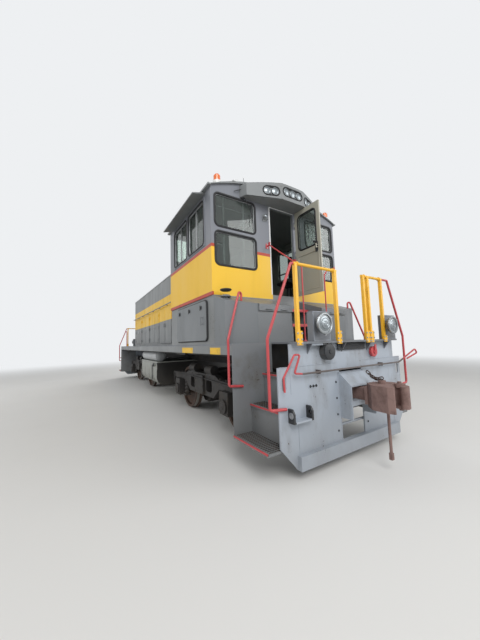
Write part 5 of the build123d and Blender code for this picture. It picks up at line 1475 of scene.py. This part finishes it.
    def nose(self) -> None:
        """Lenses and bezels of the nose lamps, a frame round the grille and grab irons."""
        x, half, z = self.nose_lamps
        places = [(x, y, z) for y in (-half, half)]
        bezel = ((84, -30), (86, 0), (82, 8), (70, 9), (66, 2))
        lens = ((67, -6), (67, 3), (48, 10), (20, 13), (0, 13.5))
        bezels = [spun(bezel, at, (-1, 0, 0), 36) for at in places]
        lenses = [spun(lens, at, (-1, 0, 0), 36) for at in places]
        self.shop.make("nose_lamp_bezels", bezels, Coat.CHROME)
        self.shop.make("nose_lamp_lenses", lenses, Coat.LENS)
        frame = ring((-5096, 0, 2825), (-1, 0, 0), 1268, 1378, 12, 20, 12, 3)
        self.shop.make("grille_frame", [frame], Coat.GREY)
        irons = [pipe(((-5094, y, 1900), (-5160, y, 1900), (-5160, y, 2700), (-5094, y, 2700)), 13, 30)
                 for y in (-740, 740)]
        self.shop.make("nose_grab_irons", irons, Coat.RED)

    def build(self) -> None:
        """Dress the hood."""
        self.doors()
        self.shell()
        self.roof()
        self.nose()


# Running gear


@dataclass
class Truck:
    """Bolts, lids, pipes and wheel treads of one truck.

    Attributes:
        shop: where its pieces are made.
        name: cab or nose, which its pieces carry.
        e: 1 at the cab end, -1 at the nose.
        truck_x: |X| of the truck's middle.
        axle_x: distance from there to an axle.
        axle_z: height of the axles.
        wheel_r: radius of the wheels.
        box_y: |Y| of the lids of the journal boxes.
        tread_y: |Y| of the inner edge of the wheel treads.
    """

    shop: Shop
    name: str
    e: int
    truck_x: float = 3353.0
    axle_x: float = 1219.0
    axle_z: float = 536.0
    wheel_r: float = 508.0
    box_y: float = 1150.0
    tread_y: float = 722.0

    def boxes(self) -> tuple[list[Shell], list[Shell]]:
        """Bolts of the side frames and their journal boxes, and the boxes' lids.

        Returns:
            The bolts and the lids.
        """
        mid, z = self.e * self.truck_x, self.axle_z
        lid = ((60, -4), (60, 10), (48, 18), (20, 22), (0, 23))
        heads, lids = [], []
        for s in BOTH:
            side = (0, s, 0)
            for x in (mid - self.axle_x, mid + self.axle_x):
                lid_bolts = [(x + 92 * math.cos(t), s * self.box_y, z + 92 * math.sin(t))
                             for t in np.arange(6) * math.pi / 3 + 0.3]
                corners = [(x + dx, s * 1130, z + dz) for dx in (-128, 128) for dz in (-108, 108)]
                heads += [bolts(lid_bolts, side, 20, 12), bolts(corners, side, 24, 12)]
                lids.append(spun(lid, (x, s * self.box_y, z), side, 28))
            middle = [(mid + dx, s * 1075, height) for dx in (-185, 185) for height in (610, 740, 870)]
            top = [(mid + dx, s * 1030, 955) for dx in np.arange(-1150, 1151, 230) if abs(dx) > 250]
            heads += [bolts(middle, side, 30, 16), bolts(top, side, 22, 10)]
        return heads, lids

    def pipes(self) -> list[Shell]:
        """Air pipes along the side frames, and sand pipes with their nozzles at the outer wheels.

        Returns:
            The pipes.
        """
        mid = self.e * self.truck_x
        made = []
        for s in BOTH:
            inner, outer = s * 1046, s * 1092
            half = ((1500, inner, 872), (240, inner, 905), (240, outer, 905))
            line = [(mid - dx, y, z) for dx, y, z in half] + [(mid + dx, y, z) for dx, y, z in half[::-1]]
            made.append(pipe(line, 14, 40, 8))
            for a in BOTH:
                x = mid + a * 1740
                made.append(pipe(((x, s * 1040, 880), (x, s * 1040, 640), (x - a * 10, s * 780, 420),
                                  (x - a * 70, s * 748, 190)), 17, 70))
                nozzle = ((24, 0), (26, 40), (18, 60), (18, 66))
                made.append(spun(nozzle, (x - a * 76, s * 746, 166), (a * 0.2, 0, 1), 12))
        return made

    def treads(self) -> None:
        """Polished tread of each wheel: a profile of (radius, distance outwards) turned once round."""
        r = self.wheel_r
        profile = ((r - 4, 0), (r + 0.8, 0), (r + 0.5, 60), (r - 1, 88), (r - 6, 88))
        loop = np.stack([raised(circle(72) * radius, out) for radius, out in profile])
        for hand, way in (("outer", self.e), ("inner", -self.e)):
            x = self.e * self.truck_x + way * self.axle_x
            rings = [skin(loop, loop=True).placed((x, s * self.tread_y, self.axle_z), axes_for((0, s, 0)))
                     for s in BOTH]
            wheel = f"wheelset_{self.name}_{hand}"
            self.shop.make(f"{wheel}_treads", rings, Coat.TREAD, wheel)

    def build(self) -> None:
        """Dress the truck."""
        body = f"truck_{self.name}"
        heads, lids = self.boxes()
        self.shop.make(f"{body}_bolts", heads, Coat.BLACK_BOLT, body)
        self.shop.make(f"{body}_lids", lids, Coat.TRUCK, body)
        self.shop.make(f"{body}_pipes", self.pipes(), Coat.TRUCK, body)
        self.treads()


@dataclass
class Tank:
    """Filler caps, level gauges and strap bolts of the fuel tank, and the pipes along the sills.

    Attributes:
        shop: where its pieces are made.
        strap_x: X of the straps' bolts.
        cap: X, |Y| and height of the filler caps.
        pipe_x: |X| of both ends of the sill pipes.
    """

    shop: Shop
    strap_x: tuple[float, ...] = (-1250.0, -765.0, -180.0, 405.0, 820.0)
    cap: tuple[float, float, float] = (615.0, 1365.0, 1040.0)
    pipe_x: float = 5350.0

    def build(self) -> None:
        """Dress the tank and both sills."""
        x, y, z = self.cap
        end = self.pipe_x
        filler = ((50, -4), (54, 4), (54, 16), (40, 22), (0, 24))
        fittings, heads, pipes = [], [], []
        for s in BOTH:
            fittings.append(spun(filler, (x, s * y, z), (0, s, 0), 28))
            fittings.append(block((x - 40, s * 1385, z - 10), (x + 40, s * 1396, z + 10), 4))
            fittings.append(block((250, s * 1322, 560), (300, s * 1336, 1020), 5))
            straps = [(at, s * 1330, height) for at in self.strap_x for height in (700, 1085)]
            heads.append(bolts(straps, (0, s, 0), 22, 12))
            pipes.append(pipe(((-end, s * 1300, 1500), (-end, s * 1405, 1440), (end, s * 1405, 1440),
                               (end, s * 1300, 1500)), 16, 80, 8))
        self.shop.make("tank_caps", fittings, Coat.IRON)
        self.shop.make("tank_bolts", heads, Coat.BOLT)
        self.shop.make("sill_pipes", pipes, Coat.TRUCK)


# The studio


@dataclass
class Studio:
    """Camera, lights, floor and sky.

    Attributes:
        place: the camera's place, in metres.
        yaw: its turn from looking along -X, in radians.
        pitch: its rise, in radians.
        roll: its lean, in radians.
        lens: focal length for a 36 mm long side.
        half: half size of the floor, in metres.
        fade: distances in metres over which the floor turns into the backdrop.
        backdrop: sRGB hex colour of floor and sky far away.
        sky: strength of the sky on the object, and where the eye sees it.
        lamps: name, place, aim, size and power of each soft lamp.
    """

    place: tuple[float, float, float] = (8.569, -3.247, 1.624)
    yaw: float = 0.5599
    pitch: float = 0.0881
    roll: float = -0.0304
    lens: float = 14.37
    half: float = 60.0
    fade: tuple[float, float] = (10.0, 24.0)
    backdrop: str = "eef0f2"
    sky: tuple[float, float] = (0.46, 1.0)
    lamps: tuple[tuple[str, Point, Point, float, float], ...] = (
        ("key", (14, -5, 9), (4, 0, 2), 6, 900),
        ("fill", (13, 7, 6), (4, 0, 2), 6, 380),
        ("side", (-3, -13, 7), (-2, 0, 2), 8, 480),
        ("rear", (-13, 8, 8), (-4, 0, 2), 8, 620),
    )

    def camera(self) -> None:
        """Place the camera where the photograph was taken."""
        yaw, pitch, roll = self.yaw, self.pitch, self.roll
        forward = Vector((-math.cos(yaw) * math.cos(pitch), math.sin(yaw) * math.cos(pitch), math.sin(pitch)))
        level = Vector((math.sin(yaw), math.cos(yaw), 0))
        right = level * math.cos(roll) + level.cross(forward) * math.sin(roll)
        data = bpy.data.cameras.new("photo camera")
        data.lens = self.lens
        data.clip_start, data.clip_end = 0.05, 300
        camera = bpy.data.objects.new("photo_camera", data)
        bpy.context.scene.collection.objects.link(camera)
        turn = Matrix((right, right.cross(forward), -forward)).transposed()
        camera.matrix_world = Matrix.Translation(self.place) @ turn.to_4x4()
        bpy.context.scene.camera = camera

    def floor(self) -> None:
        """Lay a pale floor under the wheels."""
        data = bpy.data.meshes.new("floor")
        square = [(self.half * x, self.half * y, 0) for x, y in ((-1, -1), (1, -1), (1, 1), (-1, 1))]
        data.from_pydata(square, [], [(0, 1, 2, 3)])
        floor = bpy.data.objects.new("floor", data)
        bpy.context.scene.collection.objects.link(floor)
        paint = Finish("pale painted concrete", "dddcd9", "body_grey", wear=0.1, dust="cac8c3", roughness=0.7,
                       patch_mm=1500).build()
        self._fade(paint.node_tree)
        data.materials.append(paint)
        floor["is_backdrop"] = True

    @staticmethod
    def _seen(tree: Tree) -> Socket:
        """One for rays that show a surface to the eye: straight, mirrored or through glass.

        Args:
            tree: the node tree.

        Returns:
            The 0 or 1.
        """
        path = put(tree, "LightPath")
        seen = path["Is Camera Ray"]
        for other in ("Is Transmission Ray", "Is Glossy Ray"):
            seen = put(tree, "Math", operation="MAXIMUM", in_0=seen, in_1=path[other])[0]
        return seen

    def _fade(self, tree: Tree) -> None:
        """Fade the floor into the backdrop with the distance from the locomotive's middle.

        Args:
            tree: the floor's finished material.
        """
        output = next(n for n in tree.nodes if n.bl_idname == "ShaderNodeOutputMaterial")
        concrete = output.inputs["Surface"].links[0].from_socket
        place = put(tree, "TexCoord")["Object"]
        away = put(tree, "VectorMath", operation="LENGTH", in_0=place)["Value"]
        far = put(tree, "MapRange", interpolation_type="SMOOTHSTEP", Value=away, From_Min=self.fade[0],
                  From_Max=self.fade[1])[0]
        share = put(tree, "Math", operation="MULTIPLY", in_0=far, in_1=self._seen(tree))[0]
        glow = put(tree, "Emission", Color=linear(self.backdrop))[0]
        mixed = put(tree, "MixShader", in_0=share, in_1=concrete, in_2=glow)[0]
        tree.links.new(mixed, output.inputs["Surface"])

    def lights(self) -> None:
        """Hang soft area lamps and light the sky."""
        for name, place, aim, size, power in self.lamps:
            data = bpy.data.lights.new(name, "AREA")
            data.size, data.energy = size, power
            lamp = bpy.data.objects.new(name, data)
            lamp.location = place
            lamp.rotation_mode = "QUATERNION"
            lamp.rotation_quaternion = (Vector(aim) - Vector(place)).to_track_quat("-Z", "Y")
            bpy.context.scene.collection.objects.link(lamp)
        world = bpy.data.worlds.new("soft sky")
        bpy.context.scene.world = world
        world.use_nodes = True
        tree = world.node_tree
        tree.nodes.clear()
        strength = put(tree, "MapRange", Value=self._seen(tree), To_Min=self.sky[0], To_Max=self.sky[1])[0]
        sky = put(tree, "Background", Color=linear(self.backdrop), Strength=strength)[0]
        put(tree, "OutputWorld", Surface=sky)

    def build(self) -> None:
        """Set the whole stage."""
        bpy.context.scene.view_settings.view_transform = "Standard"
        self.camera()
        self.floor()
        self.lights()


def corners(box: tuple[Vector, Vector]) -> list[list[float]]:
    """Plain lists of a box's two corners."""
    return [[round(c, 5) for c in corner] for corner in box]


def main() -> None:
    """Dress the frame, piece by piece."""
    logging.basicConfig(level=logging.INFO, format="%(name)s: %(message)s")
    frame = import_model()
    cad_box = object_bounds()
    Studio().build()
    shop = Shop()
    for name, piece in frame["nodes"].items():
        piece.data.materials.clear()
        piece.data.materials.append(shop.paint(coat_of(name)))
    log.info("painted %d frame nodes", len(frame["nodes"]))
    ends = [End(shop, name, e) for name, e in ENDS]
    trucks = [Truck(shop, name, e) for name, e in ENDS]
    for part in (Cab(shop), LampHousing(shop), *ends, Platform(shop), Hood(shop), *trucks, Tank(shop)):
        part.build()
    log.info("%d pieces", shop.count)
    {"cad": corners(cad_box), "visual": corners(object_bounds())}


if __name__ == "__main__":
    main()
